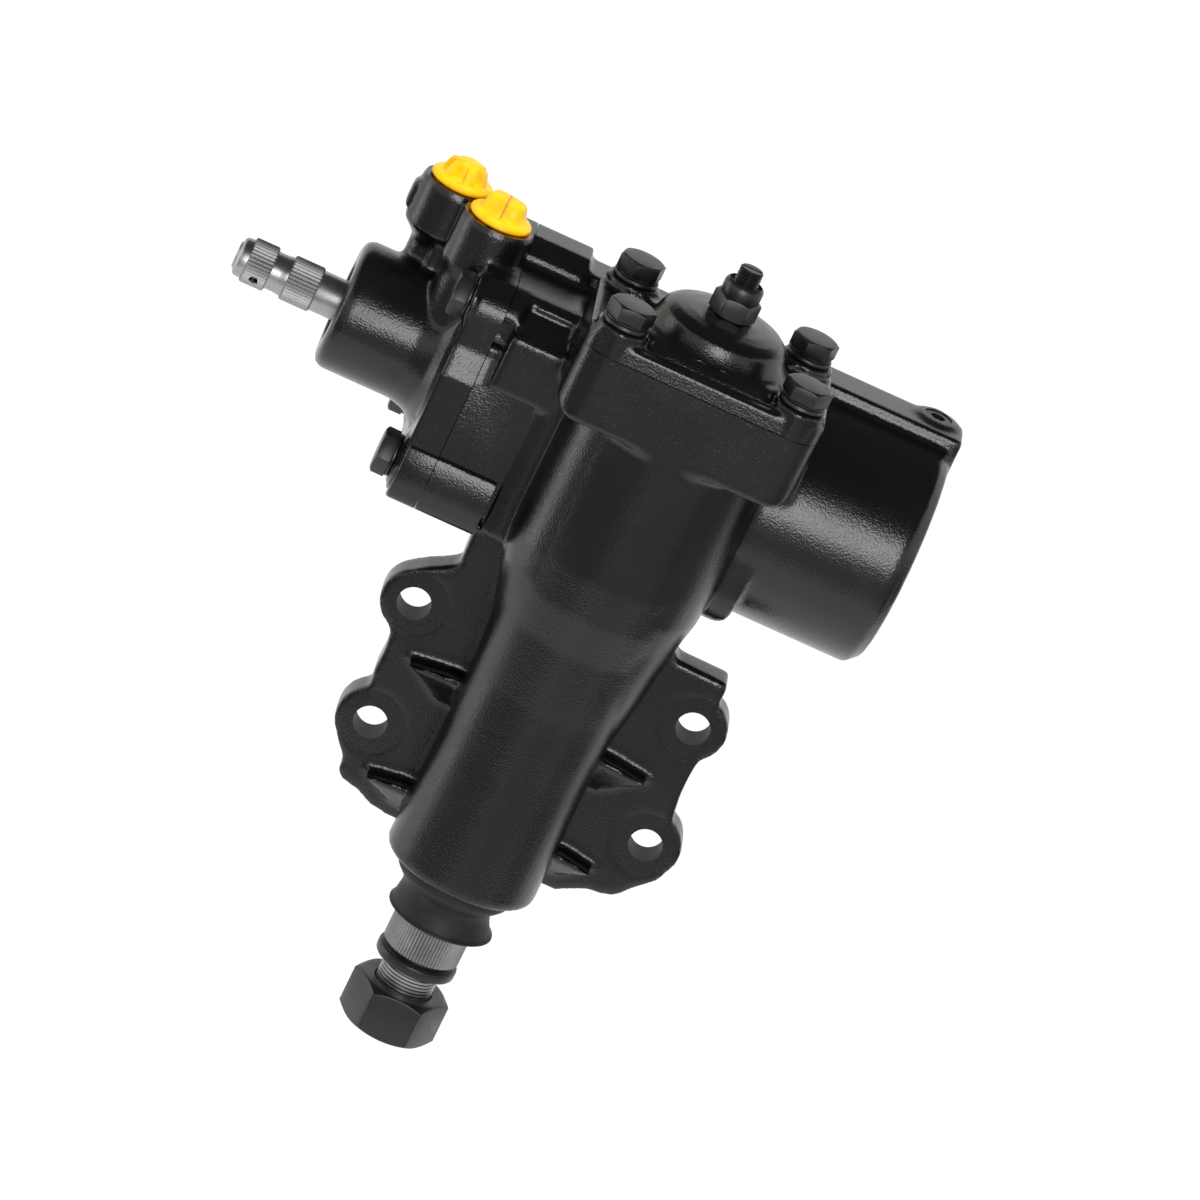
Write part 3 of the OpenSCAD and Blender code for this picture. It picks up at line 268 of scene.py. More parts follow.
def drawn_out(mesh, length):
    """Draws a flat outline out along X to a closed bar, in mm."""
    grown = bmesh.ops.extrude_face_region(mesh, geom=mesh.faces[:])["geom"]
    bmesh.ops.translate(mesh, verts=only(bmesh.types.BMVert, grown), vec=(length * MM, 0, 0))
    bmesh.ops.recalc_face_normals(mesh, faces=mesh.faces)


def freeze(piece):
    """Applies a piece's modifiers."""
    graph = bpy.context.evaluated_depsgraph_get()
    data = bpy.data.meshes.new_from_object(piece.evaluated_get(graph))
    piece.modifiers.clear()
    piece.data = data


def carve(piece, tool_mesh, operation="DIFFERENCE"):
    """Cuts a tool's shape out of a piece, or joins it on."""
    tool = new_piece("tool", tool_mesh, *piece.data.materials)
    step = piece.modifiers.new("Carve", "BOOLEAN")
    step.operation, step.object, step.solver = operation, tool, "MANIFOLD"
    freeze(piece)
    bpy.data.objects.remove(tool)


def as_cast(piece, voxel, rounds):
    """Rounds all edges and fills all corners, as sand and paint leave them."""
    skin = piece.modifiers.new("Skin", "REMESH")
    skin.mode, skin.voxel_size = "VOXEL", voxel * MM
    ease = piece.modifiers.new("Ease", "SMOOTH")
    ease.factor, ease.iterations = 0.5, rounds
    freeze(piece)
    piece.data.shade_smooth()


def crisp(data, angle=40):
    """Smooth shading with sharp edges where faces turn by more than the angle."""
    data.shade_smooth()
    data.set_sharp_from_angle(angle=math.radians(angle))


housing_paint = cast_paint("housing_paint")
# The holes' walls get a lighter copy of the black paint, which paints light onto them.
lightened_hole_paint = lightened_coat("lightened_hole_paint")

# The worm's axis lies behind the output shaft's, at this height in the frame, in mm. Other
# heights are measured from it, and x and y from the output shaft's axis. Stock is the metal
# that is left on a casting's faces until they are cut.
worm_y, worm_z = 50, 209.5
joint_x, flange_face_x, neck_face_x = 78.5, 92.0, 138.0
cover_z, gallery_top, tube_end = 55, 58, -180.8
stock = 4.0
cross = Matrix.Translation((0, 0, worm_z * MM))
along_worm = Matrix.Translation((0, worm_y * MM, worm_z * MM)) @ tilted(90, "Y")
frame_holes = [(-61.4, -91.2), (60.6, -91.2), (-56.7, -145.2), (64.3, -145.2)]
flange_bolts = [(x * 36.5, y * 36.5) for x in (-1, 1) for y in (-1, 1)]
cover_bolts = [(x * 37.4, y * 27.8) for x in (-1, 1) for y in (-1, 1)]
gallery_end = (98, 62)


def upward(x, y, z):
    """A place in mm from the output shaft's axis and the worm's height."""
    return cross @ Matrix.Translation(Vector((x, y, z)) * MM)


def beside_worm(x, y):
    """Local Z runs along the worm, at a distance from its axis."""
    return along_worm @ Matrix.Translation(Vector((x, y, 0)) * MM)


def backward(x, z):
    """Local Z runs to the back, from the shaft's axis."""
    return upward(x, 0, z) @ tilted(-90, "X")


def measured(mesh):
    """Each corner of a mesh with its place in mm, as upward gives it."""
    for corner in mesh.verts:
        yield corner, *((cross.inverted() @ corner.co) / MM)


def gallery_ridge(mesh, start, end):
    """The high end of the oil gallery, with its front edge sloped."""
    front, width, height = 45, 24, 20
    bar = bmesh.new()
    block(bar, (start, front, gallery_top - height), (end, front + width, gallery_top), cross)
    slope = [edge for edge in bar.edges if all(
        corner.co.y < (front + 1) * MM and corner.co.z > (worm_z + gallery_top - 1) * MM
        for corner in edge.verts)]
    bevelled(bar, slope, 6.2, 1)
    joined(mesh, bar)


def swelling(start, end):
    """The round swelling over the lower bolt holes."""
    outline = [
        (6, -24.2), (0.9, -24.2), (-0.4, -24.9), (-0.95, -26), (-1.5, -28), (-1.9, -30),
        (-2.2, -32), (-2.4, -34), (-2.45, -36), (-2.4, -38), (-2.2, -40), (-1.8, -42),
        (-1.25, -44), (-0.55, -46), (0.3, -47.8), (1.4, -49), (2.8, -49.7), (8, -49.7)]
    bar = bmesh.new()
    bar.faces.new([bar.verts.new((start * MM, y * MM, z * MM)) for y, z in outline])
    drawn_out(bar, end - start)
    if end < -joint_x:
        rim = [edge for edge in bar.edges if all(
            abs(corner.co.x - start * MM) < 0.001 * MM and corner.co.y < 3 * MM
            for corner in edge.verts)]
        bevelled(bar, rim, 1.4, 3)
    bmesh.ops.transform(bar, matrix=cross, verts=bar.verts)
    return bar


# The rough casting: its holes are closed and its faces have their stock.
rough = merged_copy("gear_housing")
for corner, x, y, z in measured(rough):
    if x < -joint_x + 0.1:
        corner.co.x -= stock * MM
    if z > cover_z - 0.1 and abs(x) < 51 and y < 39:
        corner.co.z += stock * MM
    if abs(z - gallery_top) < 0.1:
        corner.co.z -= 4 * MM
rod(rough, 41, -joint_x - stock, -joint_x + 12, along_worm)
rod(rough, 33, cover_z - 11, cover_z + stock, cross)
rod(rough, 25, tube_end, -168, cross)
for x, y in flange_bolts:
    rod(rough, 6, -joint_x - stock, -joint_x + 26, beside_worm(x, y), 24)
for x, y in cover_bolts:
    rod(rough, 6, cover_z - 22, cover_z + stock, upward(x, y, 0), 24)
for x, z in frame_holes:
    rod(rough, 8, 15.3, 30.7, backward(x, z), 24)
rod(rough, 7, 40, 55.5, upward(*gallery_end, 0), 24)
lug_corner = upward(17 - joint_x, 18, 34) @ tilted(-45, "X")
block(rough, (-10.6, -13.1, 2.2), (10.6, -10.4, 6.6), lug_corner)
gallery_ridge(rough, -joint_x - stock, -54)
gear_case = new_piece("gear_case", rough, housing_paint, lightened_hole_paint)
as_cast(gear_case, voxel=1.33, rounds=6)

# The two joint faces, the slot under the upper lug, and the recess in the flange's front.
tools = bmesh.new()
block(tools, (-100, -60, -80), (-joint_x + 0.15, 140, 80), cross)
block(tools, (-60, -60, cover_z - 0.15), (60, 44, 70), cross)
carve(gear_case, tools)
tools = bmesh.new()
block(tools, (-90, -6, 25.7), (-73.3, 8.8, 35.6), cross)
carve(gear_case, tools)
recess = bmesh.new()
block(recess, (-90, -3.2, -62), (-51.5, 0.5, 10.4), cross)
inner = [edge for edge in recess.edges if all(
    corner.co.x > -60 * MM and corner.co.z > worm_z * MM for corner in edge.verts)]
bevelled(recess, inner, 6, 6)
for corner in recess.verts:
    if corner.co.y < -MM:
        corner.co.x += 3.6 * MM
        corner.co.z += 1.2 * MM
carve(gear_case, recess)
carve(gear_case, swelling(-joint_x + 0.15, -53.5), "UNION")

# The shaft's bore, the piston's barrel, the tapped holes, and the spot faces and frame holes.
tools = bmesh.new()
turned(tools, [
    (0, -190), (24, -190), (24, -167), (21, -167), (21, -142), (17.5, -142), (17.5, -50), (21, -50),
    (21, -20), (32.05, -20), (32.05, 60), (0, 60)], cross)
carve(gear_case, tools)
tools = bmesh.new()
rod(tools, 40, -joint_x - 6, 95.3, along_worm, 96)
for x, y in flange_bolts:
    rod(tools, 5, -joint_x - 6, -joint_x + 24, beside_worm(x, y), 32)
for x, y in cover_bolts:
    rod(tools, 5, 35, 60, upward(x, y, 0), 32)
rod(tools, 6, 45, 70, upward(*gallery_end, 0), 32)
spot_face_r, spot_face_y, frame_hole_r = 14, 15.5, 7
for x, z in frame_holes:
    rod(tools, spot_face_r, 0, spot_face_y, backward(x, z), 48)
carve(gear_case, tools)
tools = bmesh.new()
for x, z in frame_holes:
    rod(tools, frame_hole_r, 5, 60, backward(x, z), 48)
# Slot 1, the lighter copy of the paint, paints light onto the frame holes' walls.
in_slot(tools, 1)
carve(gear_case, tools)
crisp(gear_case.data)
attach(gear_case, "housing")
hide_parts("gear_housing")
repaint(housing_paint, "gear_housing")


# Bearings and seal in the tube: drawn needle bearings pressed in at both ends, then a rubber
# lip seal held by a steel ring. The cover's bush is bronze.
def steel_finish(name, level, roughness, stretch=(1, 1, 1), metallic=1.0, specular=0.5, root_shade=None):
    """Steel with its lay stretched along the way it was turned, ground or drawn.

    Painted shade darkens its teeth towards the root; for that it is given a point on the axis,
    the directions across it, and the radii of root and crest.
    """
    finish, place, shader = new_finish(
        name, IOR=1.5, Metallic=metallic, Specular_IOR_Level=specular)
    drawn = place.node("ShaderNodeMapping", inputs={"Vector": place, "Scale": stretch})
    lay = drawn.noise(1.5, 3.0)
    blotch = place.noise(9, 3.0).between(0.35, 0.7)
    colour = (blotch * 0.5 + lay * 0.5).blend(shade(level * 0.86), shade(level))
    if root_shade:
        point, across_axis, root, crest = root_shade
        sideways = place.vector("SUBTRACT", point).vector("MULTIPLY", across_axis)
        radius = sideways.vector("LENGTH", output=1)
        # Painted shade: the colour darkens from the crest radius down to the root radius.
        colour = radius.between(root * MM, crest * MM).blend(shade(level * 0.3), colour)
    feed(
        shader,
        Base_Color=colour,
        Roughness=lay * 0.14 + blotch * 0.06 + (roughness - 0.1),
        Normal=lay.bump(0.02))
    return finish


def moulded(name, colour, dark, roughness, specular=0.4, marks=None):
    """Rubber, plastic or bronze, faintly clouded and grained."""
    finish, place, shader = new_finish(name, IOR=1.48, Specular_IOR_Level=specular)
    cloud = place.noise(7, 3.0)
    grain = place.noise(0.8, 2.0)
    tone = cloud.between(0.35, 0.65).blend(dark, colour)
    if marks:
        tone = marks(place, tone)
    feed(
        shader,
        Base_Color=tone,
        Roughness=grain * 0.15 + (roughness - 0.07),
        Normal=grain.bump(0.05))
    return finish


ground_steel = steel_finish("ground_steel", 190, 0.2)
black_steel = steel_finish("black_steel", 30, 0.36, metallic=0.0, specular=0.46)
nitrile = moulded("nitrile_rubber", shade(34), shade(28), 0.55, 0.35)
bronze = moulded("bronze", (0.38, 0.22, 0.08, 1), (0.3, 0.17, 0.06, 1), 0.35)
repaint(ground_steel, "middle_bearing", "lower_bearing")
repaint(nitrile, "shaft_oil_seal", "side_cover_seal")
repaint(black_steel, "seal_retaining_ring")
repaint(bronze, "upper_bush")


# Output shaft: a forging with three gear teeth, ground on its journals, with a fine rolled
# serration and a thread at its lower end, with painted shade at the root of their teeth. A pressed
# ring holds the adjusting screw's head.
def serrated(mesh, low, high, r, count, depth, place, slot):
    """A bar with V grooves rolled along it and its ends chamfered."""
    chamfer, tip = 0.6, 0.955
    made = bmesh.new()
    ring = bmesh.ops.create_circle(made, segments=count * 4, radius=r * MM)["verts"]
    for corner in ring:
        step = round(math.atan2(corner.co.y, corner.co.x) / (2 * math.pi) * count * 4) % 4
        corner.co *= (r - (depth, depth * 0.35, 0, depth * 0.35)[step]) / r
    bmesh.ops.translate(made, verts=ring, vec=(0, 0, low * MM))
    edges = made.edges[:]
    for scale, rise in ((1 / tip, chamfer), (1, high - low - 2 * chamfer), (tip, chamfer)):
        grown = bmesh.ops.extrude_edge_only(made, edges=edges)["geom"]
        edges, corners = only(bmesh.types.BMEdge, grown), only(bmesh.types.BMVert, grown)
        bmesh.ops.scale(made, verts=corners, vec=(scale, scale, 1))
        bmesh.ops.translate(made, verts=corners, vec=(0, 0, rise * MM))
    bmesh.ops.holes_fill(made, edges=made.edges, sides=0)
    bmesh.ops.recalc_face_normals(made, faces=made.faces)
    in_slot(made, slot)
    joined(mesh, made, place)


def cut_off(mesh, point, side):
    """Takes away what lies beyond a point, towards that side, and closes the cut."""
    cut = bmesh.ops.bisect_plane(
        mesh, geom=mesh.verts[:] + mesh.edges[:] + mesh.faces[:], plane_co=Vector(point) * MM,
        plane_no=side, clear_outer=True)["geom_cut"]
    bmesh.ops.holes_fill(mesh, edges=only(bmesh.types.BMEdge, cut), sides=0)
    return mesh


worn_steel = steel_finish("worn_steel", 168, 0.38, stretch=(1, 1, 0.25))
# The thread and the serration get painted shade at the root of their teeth.
thread_steel = steel_finish("thread_steel", 190, 0.42, root_shade=((0, 0, 0), (1, 1, 0), 11.25, 11.8))
spline_steel = steel_finish("spline_steel", 160, 0.5, root_shade=((0, 0, 0), (1, 1, 0), 14.95, 15.4))
serration_bottom, serration_top = -219.6, -199.4
forging = cut_off(merged_copy("sector_shaft"), (0, 0, worm_z + serration_top), (0, 0, -1))
thread = cut_off(merged_copy("sector_shaft"), (0, 0, worm_z + serration_bottom), (0, 0, 1))
in_slot(thread, 1)
joined(forging, thread)
serrated(forging, serration_bottom, serration_top, 15.5, 72, 0.6, cross, slot=2)
output_shaft = new_piece("output_shaft", forging, worn_steel, thread_steel, spline_steel)
crisp(output_shaft.data, 30)
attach(output_shaft, "sector")
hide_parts("sector_shaft")
repaint(worn_steel, "sector_shaft", "screw_retainer")


# Rack piston: a machined steel block with four rack teeth and a plastic ring. Its balls run
# back through a bent tube under a screwed clamp.
ring_plastic = moulded("ring_plastic", (0.6, 0.6, 0.55, 1), (0.5, 0.5, 0.46, 1), 0.4)
repaint(worn_steel, "rack_piston", "return_guide", "guide_clamp")
repaint(ring_plastic, "piston_ring")
repaint(ground_steel, "circuit_balls")
repaint(black_steel, "guide_clamp_screws")


# Worm and valve: the worm is ground steel and turns in a ball bearing held by a ring nut. The
# valve's sleeve turns with it on a pin, sealed by four plastic rings.
green_plastic = moulded("sleeve_ring_plastic", (0.06, 0.14, 0.08, 1), (0.05, 0.1, 0.06, 1), 0.4)
repaint(
    ground_steel, "worm_shaft", "worm_bearing_outer_race", "worm_bearing_balls",
    "worm_bearing_inner_race", "valve_sleeve", "sleeve_pin", "input_bearing")
repaint(green_plastic, "sleeve_rings")
repaint(black_steel, "bearing_ring_nut", "seal_clip")
repaint(nitrile, "valve_housing_seal", "input_oil_seal")


# Valve housing: a second iron casting, bored for the valve, with a neck for the input shaft
# and two faced bosses for the oil lines. Their faces are tinted brown in patches.
ports = [(-113.4, 61.0), (-94.6, 39.0)]
port_top = 61.5


def brown_tint(place, colour):
    """A brown tint in patches on the ports' faces, fading out towards the rims."""
    face = worm_z + port_top
    on_face = place.along(2).between((face - 0.35) * MM, (face - 0.15) * MM)
    tint_patches = on_face * place.noise(5, 2.0).between(0.36, 0.5)
    for (x, y), reach in zip(ports, (14.2, 15.2)):
        away = place.vector("DISTANCE", (x * MM, y * MM, face * MM), output=1)
        near = 1 - away.between((reach - 1.4) * MM, reach * MM)
        colour = (tint_patches * near).blend(colour, (0.16, 0.045, 0.012, 1))
    return colour


valve_paint = cast_paint("valve_paint", brown_tint)
rough = merged_copy("valve_housing")
for corner, x, y, z in measured(rough):
    if x > -joint_x - 0.1:
        corner.co.x += stock * MM
    if z > port_top - 0.1:
        corner.co.z += stock * MM
rod(rough, 17.5, -neck_face_x, -neck_face_x + 12, along_worm)
rod(rough, 41, -joint_x - 8, -joint_x + stock, along_worm)
for x, y in ports:
    rod(rough, 9, 42, port_top + stock, upward(x, y, 0), 24)
for x, y in flange_bolts:
    rod(rough, 6.4, -flange_face_x - 1.6, -joint_x + stock, beside_worm(x, y), 24)
gallery_ridge(rough, -96, -joint_x + stock)
valve_case = new_piece("valve_case", rough, valve_paint)
as_cast(valve_case, voxel=1.0, rounds=10)

# The joint face and the ports' faces, the spigot, the valve's bore, and the bolt and port holes.
tools = bmesh.new()
block(tools, (-joint_x - 0.2, -60, -80), (0, 140, 80), cross)
block(tools, (-140, 10, port_top), (-60, 100, 80), cross)
carve(valve_case, tools)
carve(valve_case, swelling(-flange_face_x + 0.9, -joint_x - 0.2), "UNION")
spigot = bmesh.new()
turned(spigot, [
    (0, -80), (39.99, -80), (39.99, -77.5), (37.4, -77.5), (37.4, -74.5), (39.99, -74.5),
    (39.99, -73.1), (39.6, -72.8), (0, -72.8)], along_worm, 96)
carve(valve_case, spigot, "UNION")
tools = bmesh.new()
turned(tools, [
    (0, -142), (17, -142), (17, -138), (16.5, -137.5), (16.5, -129.5), (14.5, -129.5),
    (14.5, -119.5), (20.5, -119.5), (20.5, -90), (28, -90), (28, -70), (0, -70)], along_worm, 96)
for x, y in flange_bolts:
    rod(tools, 5.3, -98, -70, beside_worm(x, y), 32)
carve(valve_case, tools)
tools = bmesh.new()
for x, y in ports:
    turned(tools, [
        (0, 20), (3.5, 20), (3.5, port_top - 17), (8, port_top - 17), (8, port_top - 1),
        (9, port_top), (9, 66), (0, 66)], upward(x, y, 0), 48)
carve(valve_case, tools)
crisp(valve_case.data)
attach(valve_case, "housing")
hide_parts("valve_housing")
repaint(valve_paint, "valve_housing")
repaint(bronze, "port_seats")


# Valve housing bolts: four hexagon bolts with a round collar, turned and coated black.
def hexagon(af, low, high, both=False, soft=0.25, bore=None):
    """A hexagon bar whose corners a 30-degree cone takes off at the top, or at both ends."""
    corner, flat = af / 2 / math.cos(math.pi / 6), af / 2 * 0.965
    drop = (corner + 1 - flat) * math.tan(math.pi / 6)
    middle = Matrix.Translation((0, 0, (low + high) / 2 * MM))
    bar = bmesh.new()
    bmesh.ops.create_cone(
        bar, cap_ends=True, segments=6, radius1=corner * MM, radius2=corner * MM,
        depth=(high - low) * MM, matrix=middle @ tilted(30, "Z"))
    piece = new_piece("hexagon", bar)
    cone = bmesh.new()
    foot = [(flat, low), (corner + 1, low + drop)] if both else [(corner + 1, low)]
    turned(cone, [(0, low), *foot, (corner + 1, high - drop), (flat, high), (0, high)], steps=72)
    carve(piece, cone, "INTERSECT")
    if bore:
        hole = bmesh.new()
        turned(hole, [
            (0, low - 1), (bore + 1.6, low - 1), (bore, low + 1), (bore, high - 1),
            (bore + 1.6, high + 1), (0, high + 1)])
        carve(piece, hole)
    edge = piece.modifiers.new("Edge", "BEVEL")
    edge.width, edge.segments = soft * MM, 2
    edge.limit_method, edge.angle_limit = "ANGLE", math.radians(25)
    freeze(piece)
    crisp(piece.data)
    data = piece.data
    bpy.data.objects.remove(piece)
    return data


def bolt(length):
    """A hexagon bolt with its seat at zero and its shank below."""
    mesh = bmesh.new()
    turned(mesh, [
        (0, -length), (4.2, -length), (4.8, -length + 0.8), (4.8, -0.3), (4.8, 0), (8.6, 0),
        (8.9, 0.3), (8.9, 0.8), (8.3, 1.3), (0, 1.3)])
    placed(mesh, hexagon(17, 1.2, 7.4))
    made = bpy.data.meshes.new("bolt")
    mesh.to_mesh(made)
    mesh.free()
    crisp(made, 35)
    return made


long_bolt = bolt(31.5)
row = bmesh.new()
for x, y in flange_bolts:
    seat = beside_worm(x, y) @ Matrix.Translation((0, 0, (-flange_face_x - 1.6) * MM))
    placed(row, long_bolt, seat @ tilted(180, "X") @ tilted(30, "Z"))
flange_screws = new_piece("flange_screws", row, black_steel)
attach(flange_screws, "housing")
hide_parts("valve_housing_bolts")
repaint(black_steel, "valve_housing_bolts")


# Input shaft: bright turned steel with two rolled serrations and a groove between them for
# the coupling's bolt. A pin through the tip holds the torsion bar inside it.
bright_steel = steel_finish("bright_steel", 172, 0.36, stretch=(5, 0.5, 0.5))
# The rolled serrations get painted shade at the root of their teeth.
rolled_steel = steel_finish(
    "rolled_steel", 180, 0.6, root_shade=((0, worm_y * MM, worm_z * MM), (0, 1, 1), 8.45, 8.9))
cold_steel = steel_finish("cold_steel", 110, 0.35)
turning = bmesh.new()
turned(turning, [
    (0, -176), (3.2, -176), (3.2, -182.3), (4.6, -182.5), (5.2, -182.5), (5.6, -182.1),
    (5.7, -181.7), (6.9, -181.5), (7.6, -181.1), (8.0, -180.4), (8.15, -179.4), (8.2, -178.2),
    (8.2, -169), (8.2, -167.4), (7.95, -166.8), (7.9, -165.9), (7.9, -163.6), (8.0, -162.6),
    (8.25, -161.4), (8.3, -160.2), (8.3, -149), (8.5, -148.6), (8.5, -135.5), (0, -135.5)],
    along_worm, 96)
shells = [turning]
for low, high in ((-177.6, -167.4), (-160.4, -147.8)):
    shells.append(bmesh.new())
    serrated(shells[-1], low, high, 9, 36, 0.6, along_worm, slot=1)
spindle = cut_off(merged_copy("input_shaft"), (-136, 0, 0), (-1, 0, 0))
pin_middle = Matrix.Translation((0, 0, -172.4 * MM))
pin_place = along_worm @ pin_middle @ tilted(-60, "Z") @ tilted(90, "Y")
for mesh in shells:
    shell = new_piece("shell", mesh, bright_steel, rolled_steel)
    pin_hole = bmesh.new()
    rod(pin_hole, 1.9, -15, 15, pin_place, 24)
    carve(shell, pin_hole)
    placed(spindle, shell.data)
    bpy.data.objects.remove(shell)
input_spindle = new_piece("input_spindle", spindle, bright_steel, rolled_steel)
crisp(input_spindle.data, 30)
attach(input_spindle, "input")
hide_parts("input_shaft")
repaint(bright_steel, "input_shaft")
repaint(cold_steel, "torsion_bar", "torsion_pin")


# Side cover: an iron lid over the output shaft, with a stepped dome round the adjusting
# screw, four bolt bosses and a groove cast along its front edge.
cover_paint = cast_paint("cover_paint")
rough = merged_copy("side_cover")
for corner, x, y, z in measured(rough):
    if z < cover_z + 0.1:
        corner.co.z -= stock * MM
    if abs(z - 62) < 0.1 and y < -36:
        corner.co.y += 0.8 * MM
rod(rough, 19, 54, 74, cross, 48)
rod(rough, 7, 70, 78.5, cross, 24)
rod(rough, 32.4, 44, 56, cross)
for x, y in cover_bolts:
    rod(rough, 6.4, cover_z - stock, 66.7, upward(x, y, 0), 24)
side_lid = new_piece("side_lid", rough, cover_paint)
as_cast(side_lid, voxel=0.9, rounds=8)

# The joint face, the spigot, the bores, the bolts' seats, and the groove along the front.
tools = bmesh.new()
block(tools, (-60, -60, 30), (60, 60, cover_z + 0.15), cross)
carve(side_lid, tools)
spigot = bmesh.new()
turned(spigot, [
    (0, 43), (31.6, 43), (31.85, 43.3), (31.85, 50), (29.5, 50), (29.5, 53), (31.85, 53),
    (31.85, 56), (0, 56)], cross, 96)
carve(side_lid, spigot, "UNION")
tools = bmesh.new()
turned(tools, [(0, 40), (18, 40), (18, 71), (5.05, 71), (5.05, 85), (0, 85)], cross, 64)
for x, y in cover_bolts:
    rod(tools, 5.3, 50, 80, upward(x, y, 0), 32)
    turned(tools, [(0, 66.4), (9.8, 66.4), (10.1, 66.9), (10.1, 72), (0, 72)], upward(x, y, 0), 48)
carve(side_lid, tools)
tools = bmesh.new()
groove = bmesh.ops.create_grid(tools, x_segments=1, y_segments=1, size=1)["verts"]
for corner, (y, z) in zip(groove, ((-34.6, 63.5), (-34.0, 60.6), (-28.6, 66.5), (-31.6, 60.9))):
    corner.co = Vector((-31, y, z)) * MM
drawn_out(tools, 62)
bevelled(tools, tools.edges[:], 0.8, 2)
bmesh.ops.transform(tools, matrix=cross, verts=tools.verts)
carve(side_lid, tools)
crisp(side_lid.data)
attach(side_lid, "housing")
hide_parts("side_cover")
repaint(cover_paint, "side_cover")


# Cover bolts: four of the same hexagon bolts, each on a hardened washer. They clamp the cover
# and its sealing ring onto the housing.
cover_bolt = bolt(29.5)
row, washers = bmesh.new(), bmesh.new()
for (x, y), turn in zip(cover_bolts, (4, 17, -8, 10)):
    placed(row, cover_bolt, upward(x, y, 68.5) @ tilted(turn, "Z"))
    turned(washers, [
        (5.3, 66.7), (9.1, 66.7), (9.35, 66.95), (9.35, 68.2), (9.1, 68.5), (5.3, 68.5)],
        upward(x, y, 0))
cover_screws = new_piece("cover_screws", row, black_steel)
cover_washers = new_piece("cover_washers", washers, black_steel)
crisp(cover_washers.data)
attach(cover_screws, "housing")
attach(cover_washers, "housing")
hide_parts("side_cover_bolts")
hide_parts("side_cover_washers")
repaint(black_steel, "side_cover_bolts", "side_cover_washers")


# Adjusting screw and its locknut: a slotted grub screw sets the gear's play, and a collared
# nut locks it on the dome.
nut = bmesh.new()
placed(nut, hexagon(17, 78.5, 87.4, both=True, bore=5.05), cross)
turned(nut, [
    (5.05, 87), (7.9, 87), (8.1, 87.4), (8.1, 91.8), (7.5, 93), (6.8, 93.5), (6.6, 92.2),
    (5.05, 92)], cross)
lock_nut = new_piece("lock_nut", nut, black_steel)
crisp(lock_nut.data)
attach(lock_nut, "housing")
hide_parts("adjuster_locknut")
repaint(black_steel, "adjuster_locknut", "adjusting_screw", "gallery_plug")


# Dust boot: moulded rubber, pushed on the shaft under the tube. Its soft lip has settled a
# little to one side.
outside = [
    (19.2, 0.0), (23.6, 0.0), (24.3, -0.5), (24.5, -1.4), (24.5, -4.6), (24.1, -5.6),
    (23.2, -6.6), (21.2, -8.6), (20, -10), (19.3, -11.6), (19.15, -13), (19.4, -14.6),
    (20, -16.8), (20.7, -19), (21.2, -20.4), (21.8, -21), (22.3, -21.4), (22.3, -21.8), (22, -22)]
inside = [(21.3, -21.6), (19.6, -18), (18, -14.4), (17.1, -11), (16.05, -7), (16.05, -2)]
rubber = bmesh.new()
boot_top, lip = -181.2, 9
turned(rubber, [(r, h + boot_top) for r, h in outside + inside], cross, 96)
for corner in rubber.verts:
    drop = max(0.0, (worm_z + boot_top - lip) * MM - corner.co.z) / (13 * MM)
    if corner.co.xy.length > 16.2 * MM:
        corner.co.x += 1.5 * MM * drop * drop
        corner.co.z += 0.02 * drop * corner.co.x
boot = new_piece("boot", rubber, nitrile)
boot.data.shade_smooth()
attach(boot, "housing")
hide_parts("dust_boot")
repaint(nitrile, "dust_boot")


# Lock washer and nut: a thick spring washer, split at one side, and a large coated nut that
# holds the steering arm on the serration.
spring = bmesh.new()
turned(spring, [
    (12.3, -225.4), (12.7, -225.8), (16, -225.8), (16.6, -225.6), (16.9, -225.2), (17, -224.6),
    (17, -222.5), (16.9, -221.9), (16.6, -221.5), (16, -221.3), (12.7, -221.3), (12.3, -221.7)],
    cross, 96)
arm_washer = new_piece("arm_washer", spring, black_steel)
split_place = upward(0, 0, -223.5) @ tilted(60, "Z") @ tilted(25, "X")
split = bmesh.new()
block(split, (10, -0.7, -6), (20, 0.7, 6), split_place)
carve(arm_washer, split)
crisp(arm_washer.data)
big_nut = bmesh.new()
placed(
    big_nut, hexagon(36, -256.2, -236.2, both=True, soft=0.8, bore=12.05), cross @ tilted(-1, "Z"))
shaft_nut = new_piece("shaft_nut", big_nut, black_steel)
for piece, node in ((arm_washer, "lock_washer"), (shaft_nut, "arm_nut")):
    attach(piece, "nut_set")
    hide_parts(node)
repaint(black_steel, "lock_washer", "arm_nut")


# Shipping plugs: soft yellow plastic caps pressed into the two ports until the lines go on.
# One has raised panels round its grip, the other is a plain square grip with a gate mark.
yellow, amber = (1.0, 0.6, 0.001, 1), (0.97, 0.5, 0.001, 1)


def gate_mark(place, tone):
    """A thin brown line over the top of the plain grip."""
    x, y = ports[1]
    swung = place.node(
        "ShaderNodeVectorRotate", {"rotation_type": "Z_AXIS"},
        {"Vector": place, "Center": (x * MM, y * MM, 0), "Angle": math.radians(5)})
    off = swung.along(0) - (x + 0.1) * MM
    on_line = 1 - off.math("ABSOLUTE", off).between(0.3 * MM, 0.55 * MM)
    on_top = place.along(2).between((worm_z + 64.8) * MM, (worm_z + 65.6) * MM)
    return (on_line * on_top).blend(tone, (0.6, 0.25, 0.06, 1))


panel_plastic = moulded("yellow_cap", yellow, amber, 0.4, 0.35)
plain_plastic = moulded("yellow_cap_marked", yellow, amber, 0.4, 0.35, gate_mark)


